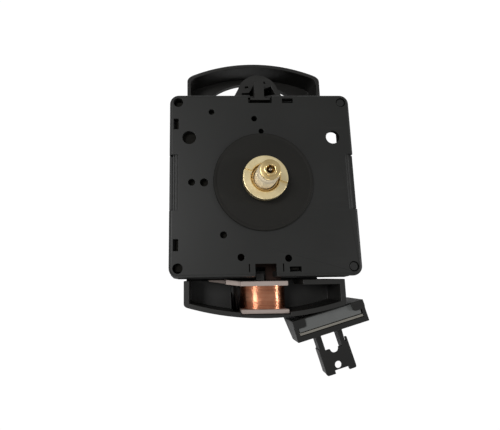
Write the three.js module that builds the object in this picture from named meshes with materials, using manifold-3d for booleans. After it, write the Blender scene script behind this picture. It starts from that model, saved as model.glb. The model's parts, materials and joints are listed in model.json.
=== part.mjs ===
// Quartz clock movement with a pendulum drive. A square two-part case holds a stepping motor and a
// wheel train. A frame behind it carries a hanger loop above, a drive coil in a tray below, and a
// swinging pendulum arm. Millimetres. The origin is on the hand shaft's axis in the plane of the wall.
// +Z points out of the dial face, +Y towards the hanger loop.
import * as THREE from 'three';
import { mergeVertices } from 'three/addons/utils/BufferGeometryUtils.js';
import Module from 'manifold-3d';

const wasm = await Module();
wasm.setup();

// Driving dimensions: the case
const caseWidth = 56;
const caseHeight = 56;
const caseCorner = 2.8;
const dialZ = 22.5; // dial face above the wall
const seamZ = 13.5; // where the front cover meets the rear case
const caseBackZ = 5; // back of the rear case above the wall
const coverPlate = 1.5;
const coverWall = 1.6;
const coverBevel = 0.9;
const rearFlare = 0.4; // how far the rear case stands proud of the cover
const rearFloor = 1.4;
const rearWall = 2.2;

// Driving dimensions: the frame and the pendulum. A rise is above the case's top, a drop below its bottom
const backPlate = 2;
const loopWidth = 46.3;
const loopRise = 17.8;
const loopRadius = 55; // of the arc along the loop's top
const loopShoulderRise = 11.2;
const loopCorner = 2.3;
const loopWall = 1.2;
const loopDepth = 10.5;
const trayWidth = 47.7;
const trayFrontZ = 18.5;
const trayDrop = 11.77;
const trayRadius = 82; // of the tray's curved bottom
const pivotRise = 2;
const armWidth = 6.4;
const armThick = 1.8;
const armGap = 0.7; // between the back plate and the arm
const restDeg = 15.7; // the pendulum's lean towards +X when the movement lies on its back

// Clearances
const seat = 0.1; // between two pieces that rest on each other
const loose = 0.3; // round pieces seated in one that is turned, and round the coil
const shaftGap = 0.1; // round a shaft that turns
const overrun = 0.5; // how far a cut runs past the face that it opens

// Counts of flats and steps on round stretches
const roundSides = 40;
const smallSides = 20;
const pinSides = 12;
const cornerSteps = 3;
const arcSteps = 14;
const weldDistance = 1e-4;

// Inspection holes and windows in the front cover: places are shares of half the case's width and height
const inspectionHoles = { small: 1.8, medium: 2.05, large: 2.4 };
const inspectionShares = [
  ['small', -0.54, 0.793],
  ['small', -0.0715, 0.714],
  ['medium', -0.761, -0.004],
  ['large', -0.629, -0.007],
  ['medium', -0.432, -0.568],
  ['medium', -0.257, -0.8],
  ['medium', 0.232, -0.814],
];
const halfMoon = { width: 1.6, centreY: 15.9 };
const snapWindow = { length: 3.4, width: 1.5, inset: 1.3 };
const snapShares = [
  ['left', 0.653],
  ['left', -0.668],
  ['top', 0.307],
  ['bottom', 0.3],
];
const mountHole = { diameter: 4.1, inset: 6, y: 13.9 };
const screwWell = { inward: 2.2, below: 2.6, above: 9.7, wall: 0.9 }; // open to the back and the right side
const cornerPin = { hole: 2.9, inset: 2.65, fit: 0.2, recess: 0.3 };
const sideRecess = { depth: 1.1, length: 17, ledge: 2, ledgeDepth: 0.8, tabDrop: 1.2 };
const topNotch = { width: 7.4, depth: 2.8, below: 3.6 };
const bottomNotch = { left: 3.2, right: 2.9, depth: 3.7 };
const tabSlit = { x: 4.9, width: 0.4, length: 2.3, edge: 1.4 };

// Hand shafts, from the outside in: reaches are above the dial face
const washer = { diameter: 29.8, thick: 1, hole: 8.5, reliefDepth: 0.08 };
const bush = { diameter: 8, bore: 6.8, reach: 3.9, flange: 10.4, flangeThick: 1.2 };
const nut = { diameter: 13, thick: 2.4, reach: 4.9, slotWidth: 1.1, slotDepth: 0.8, slotDeg: 160,
  fit: 0.15 };
const hourTube = { diameter: 6.3, bore: 4.6, reach: 9.6, neck: 5.5, neckReach: 11.8 };
const minuteShaft = { diameter: 4, bore: 1.4, collar: 5.8, collarThick: 0.35, neck: 3.1, ring: 3.7,
  ringThick: 0.5, ringRound: 0.2, reach: 13, mouth: 2.2, mouthDepth: 1.8, sleeve: 2.6, gap: 0.2 };
const secondsShaft = { diameter: 1, reach: 13.1, dome: 0.2 };

// Wheel train: tooth counts, pitch diameters, directions between the axes, heights above the wall
const toothCounts = { rotor: 6, intermediate: 36, intermediatePinion: 8, seconds: 40, secondsPinion: 8,
  third: 60, thirdPinion: 8, centre: 64, cannon: 12, minuteWork: 36, minuteWorkPinion: 10, hour: 40,
  knob: 12 };
const pitchDiameter = { intermediate: 7.2, seconds: 8.8, third: 10.8, minuteWork: 10.8 };
const directionDeg = { intermediate: -60, rotor: -20, third: 60, minuteWork: 30, knob: 20 };
const tipShare = 0.75;
const rootShare = 1;
const toothShare = 0.5;
const wheel = { thick: 0.6, pinion: 1.2, arbor: 0.7, pivotDepth: 0.6, hub: 1.9 };
const level = { rotor: 7.7, intermediate: 9.3, seconds: 11.2, third: 13.2, centre: 15.6,
  minuteWork: 17.2, hour: 18.75 };
const bridge = { z: 13.9, thick: 0.8, foot: 2.2, pad: 3.2 };
const bridgeFootShares = [[-0.271, 0.142], [0.196, -0.447], [0.375, 0.054], [0.161, 0.482]];
const coverBoss = { diameter: 2.9, drop: 1.4 };
const clutch = { diameter: 4.4, rise: 0.5, fit: 0.15 };

// Stepping motor
const rotorMagnet = { diameter: 4.4, thick: 1.6 };
const stator = { z: 7.2, thick: 0.9, bore: 5.4, ring: 7.2, arm: 3, pad: 3.8 };
const motorCoil = { x: 16.5, highY: 3, lowY: -15, coreWidth: 2, coreThick: 1, coreEnd: 1.2, flange: 4.4,
  flangeThick: 0.7, sleeve: 0.3, winding: 4, inset: 4.4 };

// Electronics and battery bay
const board = { z: 13.6, thick: 0.8, width: 6.85, sideInset: 4.2, lowInset: 2.95, bayGap: 0.4,
  pillar: 2.4, tongueLeft: 0.9, tongueRight: 5.6, slotFit: 0.3, slotRise: 0.8 };
const boardPillarShares = [[-0.196, -0.737], [0.491, -0.835], [0.786, -0.737]];
const crystal = { diameter: 2, length: 6, fromLeft: 2.7, fromTop: 1.8 };
const chipCap = { diameter: 4.4, height: 1, fromLeft: 19.2, fromTop: 3.4 };
const bay = { width: 15.5, roofZ: 19.8, wall: 0.6, roof: 0.7 };
const contact = { thick: 0.3, width: 7, lowZ: 7, highZ: 17.6, button: 4, buttonRise: 0.5, spring: 1.5 };
const snapHook = { thick: 0.8, fit: 0.25, drop: 0.4 };

// Setting knob
const knob = { diameter: 8.4, thick: 1.6, recess: 0.3, shaft: 2.4, pivot: 1.2, fluteCount: 18,
  fluteDepth: 0.35, fit: 0.4 };

// Frame details
const frameBayGap = 1.3; // between the battery bay and the plate behind the case
const loopOpening = { width: 27, topRise: 15, bottomRise: 5.4, radius: 24 };
const bracket = { diameter: 13.2, wall: 1.2, frontZ: 19, front: 1.5, footWidth: 16, flareRise: 1.9 };
// Holes in the bracket's front, from the pivot: shares of the bracket's radius
const bracketPocketShares = [[0.31, 0.288], [0.667, 0.409], [0.758, 0.167], [0.864, -0.015],
  [0.296, -0.106]];
const latchGapShares = [[-0.045, 0.5], [-0.227, 0.424], [-0.31, 0.242], [-0.424, 0.061],
  [-0.788, 0.045], [-0.788, -0.03], [-0.394, -0.038], [-0.379, -0.106], [-0.175, -0.106], [-0.159, 0.242]];
const latch = { stem: 3.05, rise: 4.9, round: 0.8, footLeft: 2.9, footRight: 3.4, footBelow: 0.6,
  footLong: 0.8, frontZ: 21.7 };
const caseGap = { top: 0.3, bottom: 0.5 }; // between the case and the frame above it and the tray below it
const slotLeft = 14.6; // left end of the open slot between the case and the tray
const tray = { wall: 1.6, bottomWall: 1.4, floorZ: 5.1, floor: 1.4, bridgeX: 9.3, bridgeWall: 0.8,
  bridgeZ: 9.5, lidLeft: 11.3, lid: 1.5, corner: 1 };
const rail = { width: 1.2, topZ: 4.8 };
const frameScrew = { head: 3.8, headThick: 1, shank: 1.6, topZ: 9, sink: 0.15, post: 4, fit: 0.2,
  slot: 0.5, slotDepth: 0.4, armGap: 1.2 };
const topScrewShares = [0.625, 0.786];
const lowScrewShare = -0.661; // of half the case's height, beside the pendulum's arm
const caseHook = { left: -2.3, right: 0.1, thick: 0.4, frontZ: 16.6, nose: 1.3, reach: 2.2 };

// Drive coil
const coil = { width: 14.2, length: 9.4, drop: 1.2, backZ: 6.8, frontZ: 17.5, topFlange: 1.42,
  bottomFlange: 1.2, sleeveX: 3.4, sleeveZ: 3.1, bore: 4, coreX: 6.05, coreZ: 4.55, squareness: 2.1,
  fit: 0.15 };
const coilWing = { reach: 9.4, backZ: 10, frontZ: 17, ledge: 4.3, lift: 0.55, tailBackZ: 9.8,
  tailFrontZ: 12.2, tipThick: 0.45 };
const wire = { diameter: 0.3, endGap: 0.08, bend: 0.3, loopCount: 8, loopSteps: 24, sides: 6 };

// Pendulum: the holder hangs below the tray, and the hook's heights are below the holder
const pivotPin = { diameter: 2, topZ: 8, footZ: 0.3 };
const hub = { diameter: 6.4, boss: 2.8, topZ: 6.4 };
const holder = { width: 22.8, belowTray: 0.4, height: 6.5, frontZ: 14.5, backZ: 7.2, rim: 1.2,
  topRim: 0.3, bottomRim: 1.6, pocketZ: 9.3 };
const clip = { inner: 7.45, thick: 0.6, reach: 2.6, round: 0.9 };
const magnet = { width: 20, height: 3.6 };
const yoke = { width: 20.2, thick: 0.7 };
const hook = { z: 4.7, frontZ: 8.7, plate: 1, flange: 0.8, width: 9.8, shoulder: 5.1, foot: 13.2,
  armOuterLeft: 4.6, armInnerLeft: 2.86, armInnerRight: 2.6, armOuterRight: 4.6, windowFoot: 5.9,
  notch: 2.8, hole: 2.2, holeX: -0.4, holeDown: 10.9, recess: 1, recessLeft: 2, recessRight: 2.5,
  barbDown: 3.7, barb: 0.6, slit: 0.35, corner: 0.7 };

// Places worked out from the driving dimensions
const halfWidth = caseWidth / 2;
const halfHeight = caseHeight / 2;
const plateBackZ = dialZ - coverPlate;
const floorZ = caseBackZ + rearFloor;
const armZ = backPlate + armGap;
const rearHalfWidth = halfWidth + rearFlare;
const rearHalfHeight = halfHeight + rearFlare;
const trayTop = -(rearHalfHeight + caseGap.bottom);
const pivotY = halfHeight + pivotRise;
const loopTop = halfHeight + loopRise;
const loopShoulder = halfHeight + loopShoulderRise;
const coilTop = -(halfHeight + coil.drop);
const coilBottom = coilTop - coil.length;
const halfTray = trayWidth / 2;
const trayArcY = trayRadius - halfHeight - trayDrop; // centre of the tray's curved bottom
const trayCornerY = trayArcY - Math.sqrt(trayRadius ** 2 - halfTray ** 2);
const trayReach = Math.hypot(halfTray, pivotY - trayCornerY); // of the tray's corners from the pivot
const holderTop = trayReach + holder.belowTray; // from here down, distances below the pivot
const holderBottom = holderTop + holder.height;
const magnetTop = holderTop + holder.topRim + seat;
const magnetBottom = magnetTop + magnet.height;
const coilZ = (coil.backZ + coil.frontZ) / 2;
const bayInset = coverWall + seat + bay.wall;
const baySpan = [bayInset - halfWidth, bayInset - halfWidth + bay.width];
const bayHalfLength = halfHeight - bayInset;
const bayCentreX = (baySpan[0] + baySpan[1]) / 2;
const bayCentreZ = (caseBackZ + bay.roofZ) / 2;
const frameLeft = baySpan[1] + frameBayGap;
const boardLeft = baySpan[1] + bay.wall + board.bayGap;
const boardLow = board.lowInset - halfHeight;
const boardHigh = boardLow + board.width;
const mountX = halfWidth - mountHole.inset;

// Materials
const plastic = (color, roughness) => new THREE.MeshStandardMaterial({ color, roughness, metalness: 0 });
const metal = (color, roughness) => new THREE.MeshStandardMaterial({ color, roughness, metalness: 1 });
const blackPlastic = plastic(0x1b1b1c, 0.5);
const rubber = plastic(0x211f1d, 0.8);
const creamPlastic = plastic(0xe9e2cf, 0.45);
const whitePlastic = plastic(0xd9dad8, 0.5);
const blueSteel = metal(0x8f949b, 0.35);
const brass = metal(0xd2a548, 0.25);
const copper = metal(0xb8653c, 0.35);
const ferrite = plastic(0x6f7172, 0.55);
const phenolic = plastic(0x8a5a45, 0.6);
const epoxy = plastic(0x0e0e10, 0.35);

// Solids from three.js geometry, joined and cut as manifolds
function solidOf(geometry) {
  geometry.deleteAttribute('normal');
  geometry.deleteAttribute('uv');
  const merged = mergeVertices(geometry, weldDistance);
  const index = merged.index.array;
  const kept = [];
  for (let i = 0; i < index.length; i += 3) {
    const [a, b, c] = index.slice(i, i + 3);
    if (a !== b && b !== c && c !== a) kept.push(a, b, c);
  }
  const vertProperties = merged.attributes.position.array;
  return new wasm.Manifold(new wasm.Mesh({ numProp: 3, vertProperties, triVerts: new Uint32Array(kept) }));
}

const join = (solids) => solids.reduce((sum, solid) => sum.add(solid));
const cut = (solid, cutters) => cutters.reduce((rest, cutter) => rest.subtract(cutter), solid);

function block([x0, x1], [y0, y1], [z0, z1]) {
  const box = new THREE.BoxGeometry(x1 - x0, y1 - y0, z1 - z0);
  return solidOf(box.translate((x0 + x1) / 2, (y0 + y1) / 2, (z0 + z1) / 2));
}

function disc(diameter, [z0, z1], [x, y] = [0, 0], sides = smallSides) {
  const round = new THREE.CylinderGeometry(diameter / 2, diameter / 2, z1 - z0, sides);
  return solidOf(round.rotateX(Math.PI / 2).translate(x, y, (z0 + z1) / 2));
}

function prism(shape, [z0, z1], curveSegments = cornerSteps) {
  const options = { depth: z1 - z0, bevelEnabled: false, curveSegments };
  return solidOf(new THREE.ExtrudeGeometry(shape, options).translate(0, 0, z0));
}

// A profile of [y, z] points, extruded along X
function prismAlongX(points, [x0, x1]) {
  const shape = new THREE.Shape(points.map(([y, z]) => new THREE.Vector2(y, z)));
  const turn = new THREE.Matrix4().makeBasis(
    new THREE.Vector3(0, 1, 0), new THREE.Vector3(0, 0, 1), new THREE.Vector3(1, 0, 0));
  const bar = new THREE.ExtrudeGeometry(shape, { depth: x1 - x0, bevelEnabled: false });
  return solidOf(bar.applyMatrix4(turn).translate(x0, 0, 0));
}

// A profile of [radius, z] points, clockwise seen with the axis at the left, turned about Z
function turned(points, sides = roundSides) {
  const closed = [...points, points[0]].map(([radius, z]) => new THREE.Vector2(radius, z));
  return solidOf(new THREE.LatheGeometry(closed, sides).rotateX(Math.PI / 2));
}

// A straight bar between two places in a plan view
function bar(from, to, width, [z0, z1]) {
  const length = Math.hypot(to[0] - from[0], to[1] - from[1]);
  const box = new THREE.BoxGeometry(length, width, z1 - z0);
  box.rotateZ(Math.atan2(to[1] - from[1], to[0] - from[0]));
  return solidOf(box.translate((from[0] + to[0]) / 2, (from[1] + to[1]) / 2, (z0 + z1) / 2));
}

// An outline through [x, y, corner radius] points
function outline(corners) {
  const shape = new THREE.Shape();
  const point = (i) => new THREE.Vector2(...corners[(i + corners.length) % corners.length]);
  corners.forEach(([x, y, radius = 0], i) => {
    const before = point(i - 1).sub(point(i)).setLength(radius).add(point(i));
    const after = point(i + 1).sub(point(i)).setLength(radius).add(point(i));
    if (i === 0) shape.moveTo(before.x, before.y);
    else shape.lineTo(before.x, before.y);
    if (radius > 0) shape.quadraticCurveTo(x, y, after.x, after.y);
  });
  return shape;
}

const roundedBox = (halfX, halfY, radius) => outline([[-halfX, -halfY, radius], [halfX, -halfY, radius],
  [halfX, halfY, radius], [-halfX, halfY, radius]]);

const radians = (degrees) => THREE.MathUtils.degToRad(degrees);
const polar = ([x, y], distance, degrees) =>
  [x + distance * Math.cos(radians(degrees)), y + distance * Math.sin(radians(degrees))];
const onCase = ([xShare, yShare]) => [xShare * halfWidth, yShare * halfHeight];
const about = (z, thick) => [z - thick / 2, z + thick / 2];
const armReachRight = (y) => ((pivotY - y) * Math.sin(radians(restDeg)) + armWidth / 2)
  / Math.cos(radians(restDeg));
const lowScrewY = lowScrewShare * halfHeight;
const frameScrewPlaces = [
  onCase(topScrewShares),
  [armReachRight(lowScrewY) + frameScrew.armGap + frameScrew.head / 2, lowScrewY],
];

// Axes of the train in plan
const meshDistance = (toothModule, a, b) => toothModule * (a + b) / 2;
const centreAxis = [0, 0];
const motorModule = pitchDiameter.intermediate / toothCounts.intermediate;
const secondsModule = pitchDiameter.seconds / toothCounts.seconds;
const thirdModule = pitchDiameter.third / toothCounts.third;
const handModule = pitchDiameter.minuteWork / toothCounts.minuteWork;
const secondsDistance = meshDistance(secondsModule, toothCounts.intermediatePinion, toothCounts.seconds);
const motorDistance = meshDistance(motorModule, toothCounts.rotor, toothCounts.intermediate);
const thirdDistance = meshDistance(thirdModule, toothCounts.secondsPinion, toothCounts.third);
const handDistance = meshDistance(handModule, toothCounts.cannon, toothCounts.minuteWork);
const centreModule = 2 * thirdDistance / (toothCounts.thirdPinion + toothCounts.centre);
const hourModule = 2 * handDistance / (toothCounts.minuteWorkPinion + toothCounts.hour);
const intermediateAxis = polar(centreAxis, secondsDistance, directionDeg.intermediate);
const rotorAxis = polar(intermediateAxis, motorDistance, directionDeg.rotor);
const thirdAxis = polar(centreAxis, thirdDistance, directionDeg.third);
const minuteWorkAxis = polar(centreAxis, handDistance, directionDeg.minuteWork);
const knobAxis = polar(minuteWorkAxis, handDistance, directionDeg.knob);
const pivot = [0, pivotY];

// A toothed wheel with pointed teeth, one of them at the angle turn
function gear(count, toothModule, span, axis, turn) {
  const root = toothModule * (count / 2 - rootShare);
  const tip = toothModule * (count / 2 + tipShare);
  const pitch = 2 * Math.PI / count;
  const points = [];
  for (let i = 0; i < count; i += 1) {
    const angle = turn + i * pitch;
    [[root, -toothShare / 2], [tip, 0], [root, toothShare / 2]].forEach(([radius, share]) => {
      const at = angle + share * pitch;
      points.push(new THREE.Vector2(axis[0] + radius * Math.cos(at), axis[1] + radius * Math.sin(at)));
    });
  }
  return prism(new THREE.Shape(points), span);
}

// The turn of a driven gear that sets its gap on the tooth of the gear it meshes with
const meshTurn = (turn, count, drivenCount, degrees) =>
  radians(degrees) + Math.PI - Math.PI / drivenCount + (radians(degrees) - turn) * count / drivenCount;

const turns = { seconds: 0, secondsPinion: 0, thirdPinion: 0, cannon: 0, minuteWorkPinion: 0,
  intermediate: 0 };
const halfTurnDeg = 180; // turns a direction back towards the axis that drives
turns.intermediatePinion = meshTurn(
  turns.seconds, toothCounts.seconds, toothCounts.intermediatePinion, directionDeg.intermediate);
turns.rotor = meshTurn(turns.intermediate, toothCounts.intermediate, toothCounts.rotor, directionDeg.rotor);
turns.third = meshTurn(
  turns.secondsPinion, toothCounts.secondsPinion, toothCounts.third, directionDeg.third);
turns.centre = meshTurn(
  turns.thirdPinion, toothCounts.thirdPinion, toothCounts.centre, directionDeg.third + halfTurnDeg);
turns.minuteWork = meshTurn(
  turns.cannon, toothCounts.cannon, toothCounts.minuteWork, directionDeg.minuteWork);
turns.hour = meshTurn(turns.minuteWorkPinion, toothCounts.minuteWorkPinion, toothCounts.hour,
  directionDeg.minuteWork + halfTurnDeg);
turns.knob = meshTurn(turns.minuteWork, toothCounts.minuteWork, toothCounts.knob, directionDeg.knob);

// Front cover
const cornerPinPlaces = [[-1, -1], [1, -1], [1, 1], [-1, 1]].map(([x, y]) =>
  [x * (halfWidth - cornerPin.inset), y * (halfHeight - cornerPin.inset)]);

function snapSpan([side, share], length, width, inset) {
  const along = about(share * halfHeight, length);
  const across = [halfHeight - inset - width, halfHeight - inset];
  if (side === 'top') return [along, across];
  if (side === 'bottom') return [along, across.map((y) => -y).reverse()];
  return [[-(halfWidth - inset), -(halfWidth - inset - width)], along];
}

function frontCover() {
  const through = [plateBackZ - overrun, dialZ + overrun];
  const bevel = { depth: dialZ - seamZ, bevelSize: coverBevel, bevelThickness: coverBevel, bevelSegments: 2,
    bevelOffset: -coverBevel, curveSegments: cornerSteps };
  const shell = new THREE.ExtrudeGeometry(roundedBox(halfWidth, halfHeight, caseCorner), bevel);
  const outer = cut(solidOf(shell.translate(0, 0, seamZ - coverBevel)),
    [block([-caseWidth, caseWidth], [-caseHeight, caseHeight], [seamZ - 2 * coverBevel, seamZ])]);
  const inside = prism(roundedBox(halfWidth - coverWall, halfHeight - coverWall, caseCorner - coverWall),
    [seamZ - overrun, plateBackZ]);
  const bosses = [minuteWorkAxis, knobAxis].map((axis) =>
    disc(coverBoss.diameter, [plateBackZ - coverBoss.drop, plateBackZ + coverPlate / 2], axis, pinSides));
  const recessSpan = about(0, sideRecess.length);
  const height = [seamZ - overrun, dialZ + overrun];
  const ledgeHeight = [dialZ - sideRecess.ledgeDepth, dialZ + overrun];
  const outside = halfWidth + overrun;
  const shaftHole = [plateBackZ - coverBoss.drop - overrun, plateBackZ];
  const cutters = [
    disc(bush.diameter + 2 * seat, through, centreAxis, roundSides),
    disc(halfMoon.width, through, [0, halfMoon.centreY], pinSides),
    ...inspectionShares.map(([size, x, y]) =>
      disc(inspectionHoles[size], through, onCase([x, y]), pinSides)),
    ...[-1, 1].map((side) => disc(mountHole.diameter, through, [side * mountX, mountHole.y])),
    ...cornerPinPlaces.map((place) => disc(cornerPin.hole, height, place, pinSides)),
    ...snapShares.map((snap) =>
      block(...snapSpan(snap, snapWindow.length, snapWindow.width, snapWindow.inset), through)),
    ...[-1, 1].map((side) => block(about(side * tabSlit.x, tabSlit.width),
      [-halfHeight + tabSlit.edge, -halfHeight + tabSlit.edge + tabSlit.length], through)),
    block([-outside, sideRecess.depth - halfWidth], recessSpan, height),
    block([halfWidth - sideRecess.depth, outside], recessSpan, height),
    block([-outside, sideRecess.ledge - halfWidth], recessSpan, ledgeHeight),
    block([halfWidth - sideRecess.ledge, outside], recessSpan, ledgeHeight),
    block(about(0, topNotch.width), [halfHeight - topNotch.depth, halfHeight + overrun],
      [dialZ - topNotch.below, dialZ + overrun]),
    block([-bottomNotch.left, bottomNotch.right],
      [-halfHeight - overrun, -halfHeight + bottomNotch.depth], height),
    block([board.tongueLeft - board.slotFit, board.tongueRight + board.slotFit],
      [-halfHeight - overrun, overrun - halfHeight + coverWall],
      [seamZ - overrun, board.z + board.thick + board.slotRise]),
    disc(wheel.arbor + 2 * shaftGap, shaftHole, minuteWorkAxis, pinSides),
    disc(knob.pivot + 2 * shaftGap, shaftHole, knobAxis, pinSides),
  ];
  return cut(join([cut(outer, [inside]), ...bosses]), cutters);
}

// Rear case with its battery bay, and the open well behind the right mounting hole
function rearCase() {
  const post = cornerPin.hole - 2 * cornerPin.fit;
  const wellX = mountX - screwWell.inward;
  const wellY = [mountHole.y - screwWell.below, mountHole.y + screwWell.above];
  const shellSpan = [caseBackZ, seamZ - seat];
  const outer = prism(roundedBox(rearHalfWidth, rearHalfHeight, caseCorner), shellSpan);
  const inside = prism(roundedBox(rearHalfWidth - rearWall, rearHalfHeight - rearWall,
    caseCorner - rearWall), [floorZ, seamZ + overrun]);
  const bayTub = block([baySpan[0] - bay.wall, baySpan[1] + bay.wall],
    about(0, 2 * (bayHalfLength + bay.wall)), [floorZ, bay.roofZ + bay.roof]);
  const well = block([wellX - screwWell.wall, halfWidth - coverWall - seat],
    [wellY[0] - screwWell.wall, wellY[1] + screwWell.wall], [floorZ - overrun, plateBackZ - seat]);
  const hooks = snapShares.filter(([side]) => side !== 'left').map((snap) => block(
    ...snapSpan(snap, snapWindow.length - 2 * snapHook.fit, snapHook.thick, coverWall + snapHook.fit),
    [floorZ - overrun, plateBackZ - snapHook.drop]));
  const tabThick = sideRecess.depth - seat;
  const added = [
    bayTub,
    well,
    ...cornerPinPlaces.filter(([x]) => x > 0).map((place) =>
      disc(post, [caseBackZ + rearFloor / 2, dialZ - cornerPin.recess], place, pinSides)),
    ...boardPillarShares.map((share) =>
      disc(board.pillar, [floorZ - overrun, board.z - seat], onCase(share), pinSides)),
    ...frameScrewPlaces.map((place) =>
      disc(frameScrew.post, [floorZ - overrun, frameScrew.topZ + seat], place, pinSides)),
    ...hooks,
    ...[-1, 1].map((side) => block(about(side * (halfWidth - tabThick / 2), tabThick),
      about(0, sideRecess.length - 2 * snapHook.fit), [seamZ - overrun, dialZ - sideRecess.tabDrop])),
  ];
  const floorHole = [caseBackZ - overrun, floorZ + overrun];
  const pivotHole = [caseBackZ + rearFloor - wheel.pivotDepth - seat, floorZ + overrun];
  const cutters = [
    block(baySpan, about(0, 2 * bayHalfLength), [caseBackZ - overrun, bay.roofZ]),
    block([wellX, rearHalfWidth + overrun], wellY, [caseBackZ - overrun, plateBackZ + overrun]),
    disc(knob.shaft + 4 * shaftGap, floorHole, knobAxis, pinSides),
    ...[rotorAxis, intermediateAxis, thirdAxis].map((axis) =>
      disc(wheel.arbor + 2 * shaftGap, pivotHole, axis, pinSides)),
    disc(secondsShaft.diameter + 2 * shaftGap, pivotHole, centreAxis, pinSides),
    ...frameScrewPlaces.map((place) => disc(frameScrew.shank + 2 * frameScrew.fit,
      [caseBackZ - overrun, frameScrew.topZ + seat + overrun], place, pinSides)),
  ];
  return cut(join([cut(outer, [inside]), ...added]), cutters);
}

// Rings and shafts of the hands
function washerSolid() {
  const hole = washer.hole / 2;
  const rim = washer.diameter / 2;
  const relief = nut.diameter / 2 + loose;
  const top = dialZ + washer.thick;
  const reliefZ = top - washer.reliefDepth;
  return turned([[hole, dialZ], [rim, dialZ], [rim, top], [relief, top], [relief, reliefZ],
    [hole, reliefZ]]);
}

function bushSolid() {
  const bore = bush.bore / 2;
  const flangeZ = plateBackZ - seat;
  const low = flangeZ - bush.flangeThick;
  const high = dialZ + bush.reach;
  return turned([[bore, low], [bush.flange / 2, low], [bush.flange / 2, flangeZ],
    [bush.diameter / 2, flangeZ], [bush.diameter / 2, high], [bore, high]]);
}

function nutSolid() {
  const top = dialZ + nut.reach;
  const inner = bush.diameter / 2 + nut.fit;
  const ring = turned([[inner, top - nut.thick], [nut.diameter / 2, top - nut.thick],
    [nut.diameter / 2, top], [inner, top]]);
  const end = polar(centreAxis, nut.diameter, nut.slotDeg);
  const slot = bar(end, end.map((value) => -value), nut.slotWidth, [top - nut.slotDepth, top + overrun]);
  return cut(ring, [slot]);
}

function hourWheel() {
  const span = about(level.hour, wheel.thick);
  const tube = turned([[hourTube.bore / 2, span[0]], [hourTube.diameter / 2, span[0]],
    [hourTube.diameter / 2, dialZ + hourTube.reach], [hourTube.neck / 2, dialZ + hourTube.reach],
    [hourTube.neck / 2, dialZ + hourTube.neckReach], [hourTube.bore / 2, dialZ + hourTube.neckReach]]);
  const middle = (hourTube.bore + hourTube.diameter) / 2;
  const toothed = cut(gear(toothCounts.hour, hourModule, span, centreAxis, turns.hour),
    [disc(middle, [span[0] - overrun, span[1] + overrun], centreAxis, roundSides)]);
  return join([toothed, tube]);
}

const cannonPinionSpan = about(level.minuteWork, wheel.pinion);

function minuteArbor() {
  const top = dialZ + minuteShaft.reach;
  const collarZ = dialZ + hourTube.neckReach + minuteShaft.gap;
  const sleeveZ = bridge.z + bridge.thick + minuteShaft.gap;
  const ringZ = top - minuteShaft.ringThick;
  const half = (size) => size / 2;
  const shaft = turned([
    [half(minuteShaft.bore), sleeveZ], [half(minuteShaft.sleeve), sleeveZ],
    [half(minuteShaft.sleeve), cannonPinionSpan[1]], [half(minuteShaft.diameter), cannonPinionSpan[1]],
    [half(minuteShaft.diameter), collarZ], [half(minuteShaft.collar), collarZ],
    [half(minuteShaft.collar), collarZ + minuteShaft.collarThick], [half(minuteShaft.neck), ringZ],
    [half(minuteShaft.ring), ringZ + minuteShaft.ringRound],
    [half(minuteShaft.ring), top - minuteShaft.ringRound],
    [half(minuteShaft.ring) - minuteShaft.ringRound, top], [half(minuteShaft.mouth), top],
    [half(minuteShaft.mouth), top - minuteShaft.mouthDepth],
    [half(minuteShaft.bore), top - minuteShaft.mouthDepth],
  ]);
  const pinion = cut(gear(toothCounts.cannon, handModule, cannonPinionSpan, centreAxis, turns.cannon),
    [disc((minuteShaft.bore + minuteShaft.sleeve) / 2,
      [cannonPinionSpan[0] - overrun, cannonPinionSpan[1] + overrun], centreAxis, roundSides)]);
  return join([shaft, pinion]);
}

const pivotLow = floorZ - wheel.pivotDepth;
const bridgeTop = bridge.z + bridge.thick;

const secondsPinionSpan = about(level.third, wheel.pinion);

// The seconds shaft, with the pinion that drives the third wheel in one piece with it
function secondsArbor() {
  const top = dialZ + secondsShaft.reach;
  const radius = secondsShaft.diameter / 2;
  const shaft = turned([[0, pivotLow], [radius, pivotLow], [radius, top - secondsShaft.dome],
    [radius - secondsShaft.dome, top], [0, top]], pinSides);
  return join([shaft,
    gear(toothCounts.secondsPinion, thirdModule, secondsPinionSpan, centreAxis, turns.secondsPinion)]);
}

// A wheel and its pinion on one arbor
function arborSet(axis, wheelPart, pinionPart, [low, high]) {
  const parts = [disc(wheel.arbor, [low, high], axis, pinSides)];
  [wheelPart, pinionPart].forEach((part) => {
    if (part) parts.push(gear(part.count, part.toothModule, part.span, axis, part.turn));
  });
  return join(parts);
}

function secondsWheel() {
  const wheelSpan = about(level.seconds, wheel.thick);
  const hubSpan = [wheelSpan[0], secondsPinionSpan[0] - seat];
  const bore = disc(secondsShaft.diameter + 2 * seat, [hubSpan[0] - overrun, hubSpan[1] + overrun],
    centreAxis, pinSides);
  const toothed = gear(toothCounts.seconds, secondsModule, wheelSpan, centreAxis, turns.seconds);
  return cut(join([toothed, disc(wheel.hub, hubSpan, centreAxis, pinSides)]), [bore]);
}

const intermediateWheel = () => arborSet(intermediateAxis,
  { count: toothCounts.intermediate, toothModule: motorModule, turn: turns.intermediate,
    span: about(level.intermediate, wheel.thick) },
  { count: toothCounts.intermediatePinion, toothModule: secondsModule, turn: turns.intermediatePinion,
    span: [level.intermediate + wheel.thick / 2, level.seconds + wheel.pinion / 2] },
  [pivotLow, bridgeTop]);

const thirdWheel = () => arborSet(thirdAxis,
  { count: toothCounts.third, toothModule: thirdModule, turn: turns.third,
    span: about(level.third, wheel.thick) },
  { count: toothCounts.thirdPinion, toothModule: centreModule, turn: turns.thirdPinion,
    span: about(level.centre, wheel.pinion) },
  [pivotLow, level.centre + wheel.pinion / 2]);

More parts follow.
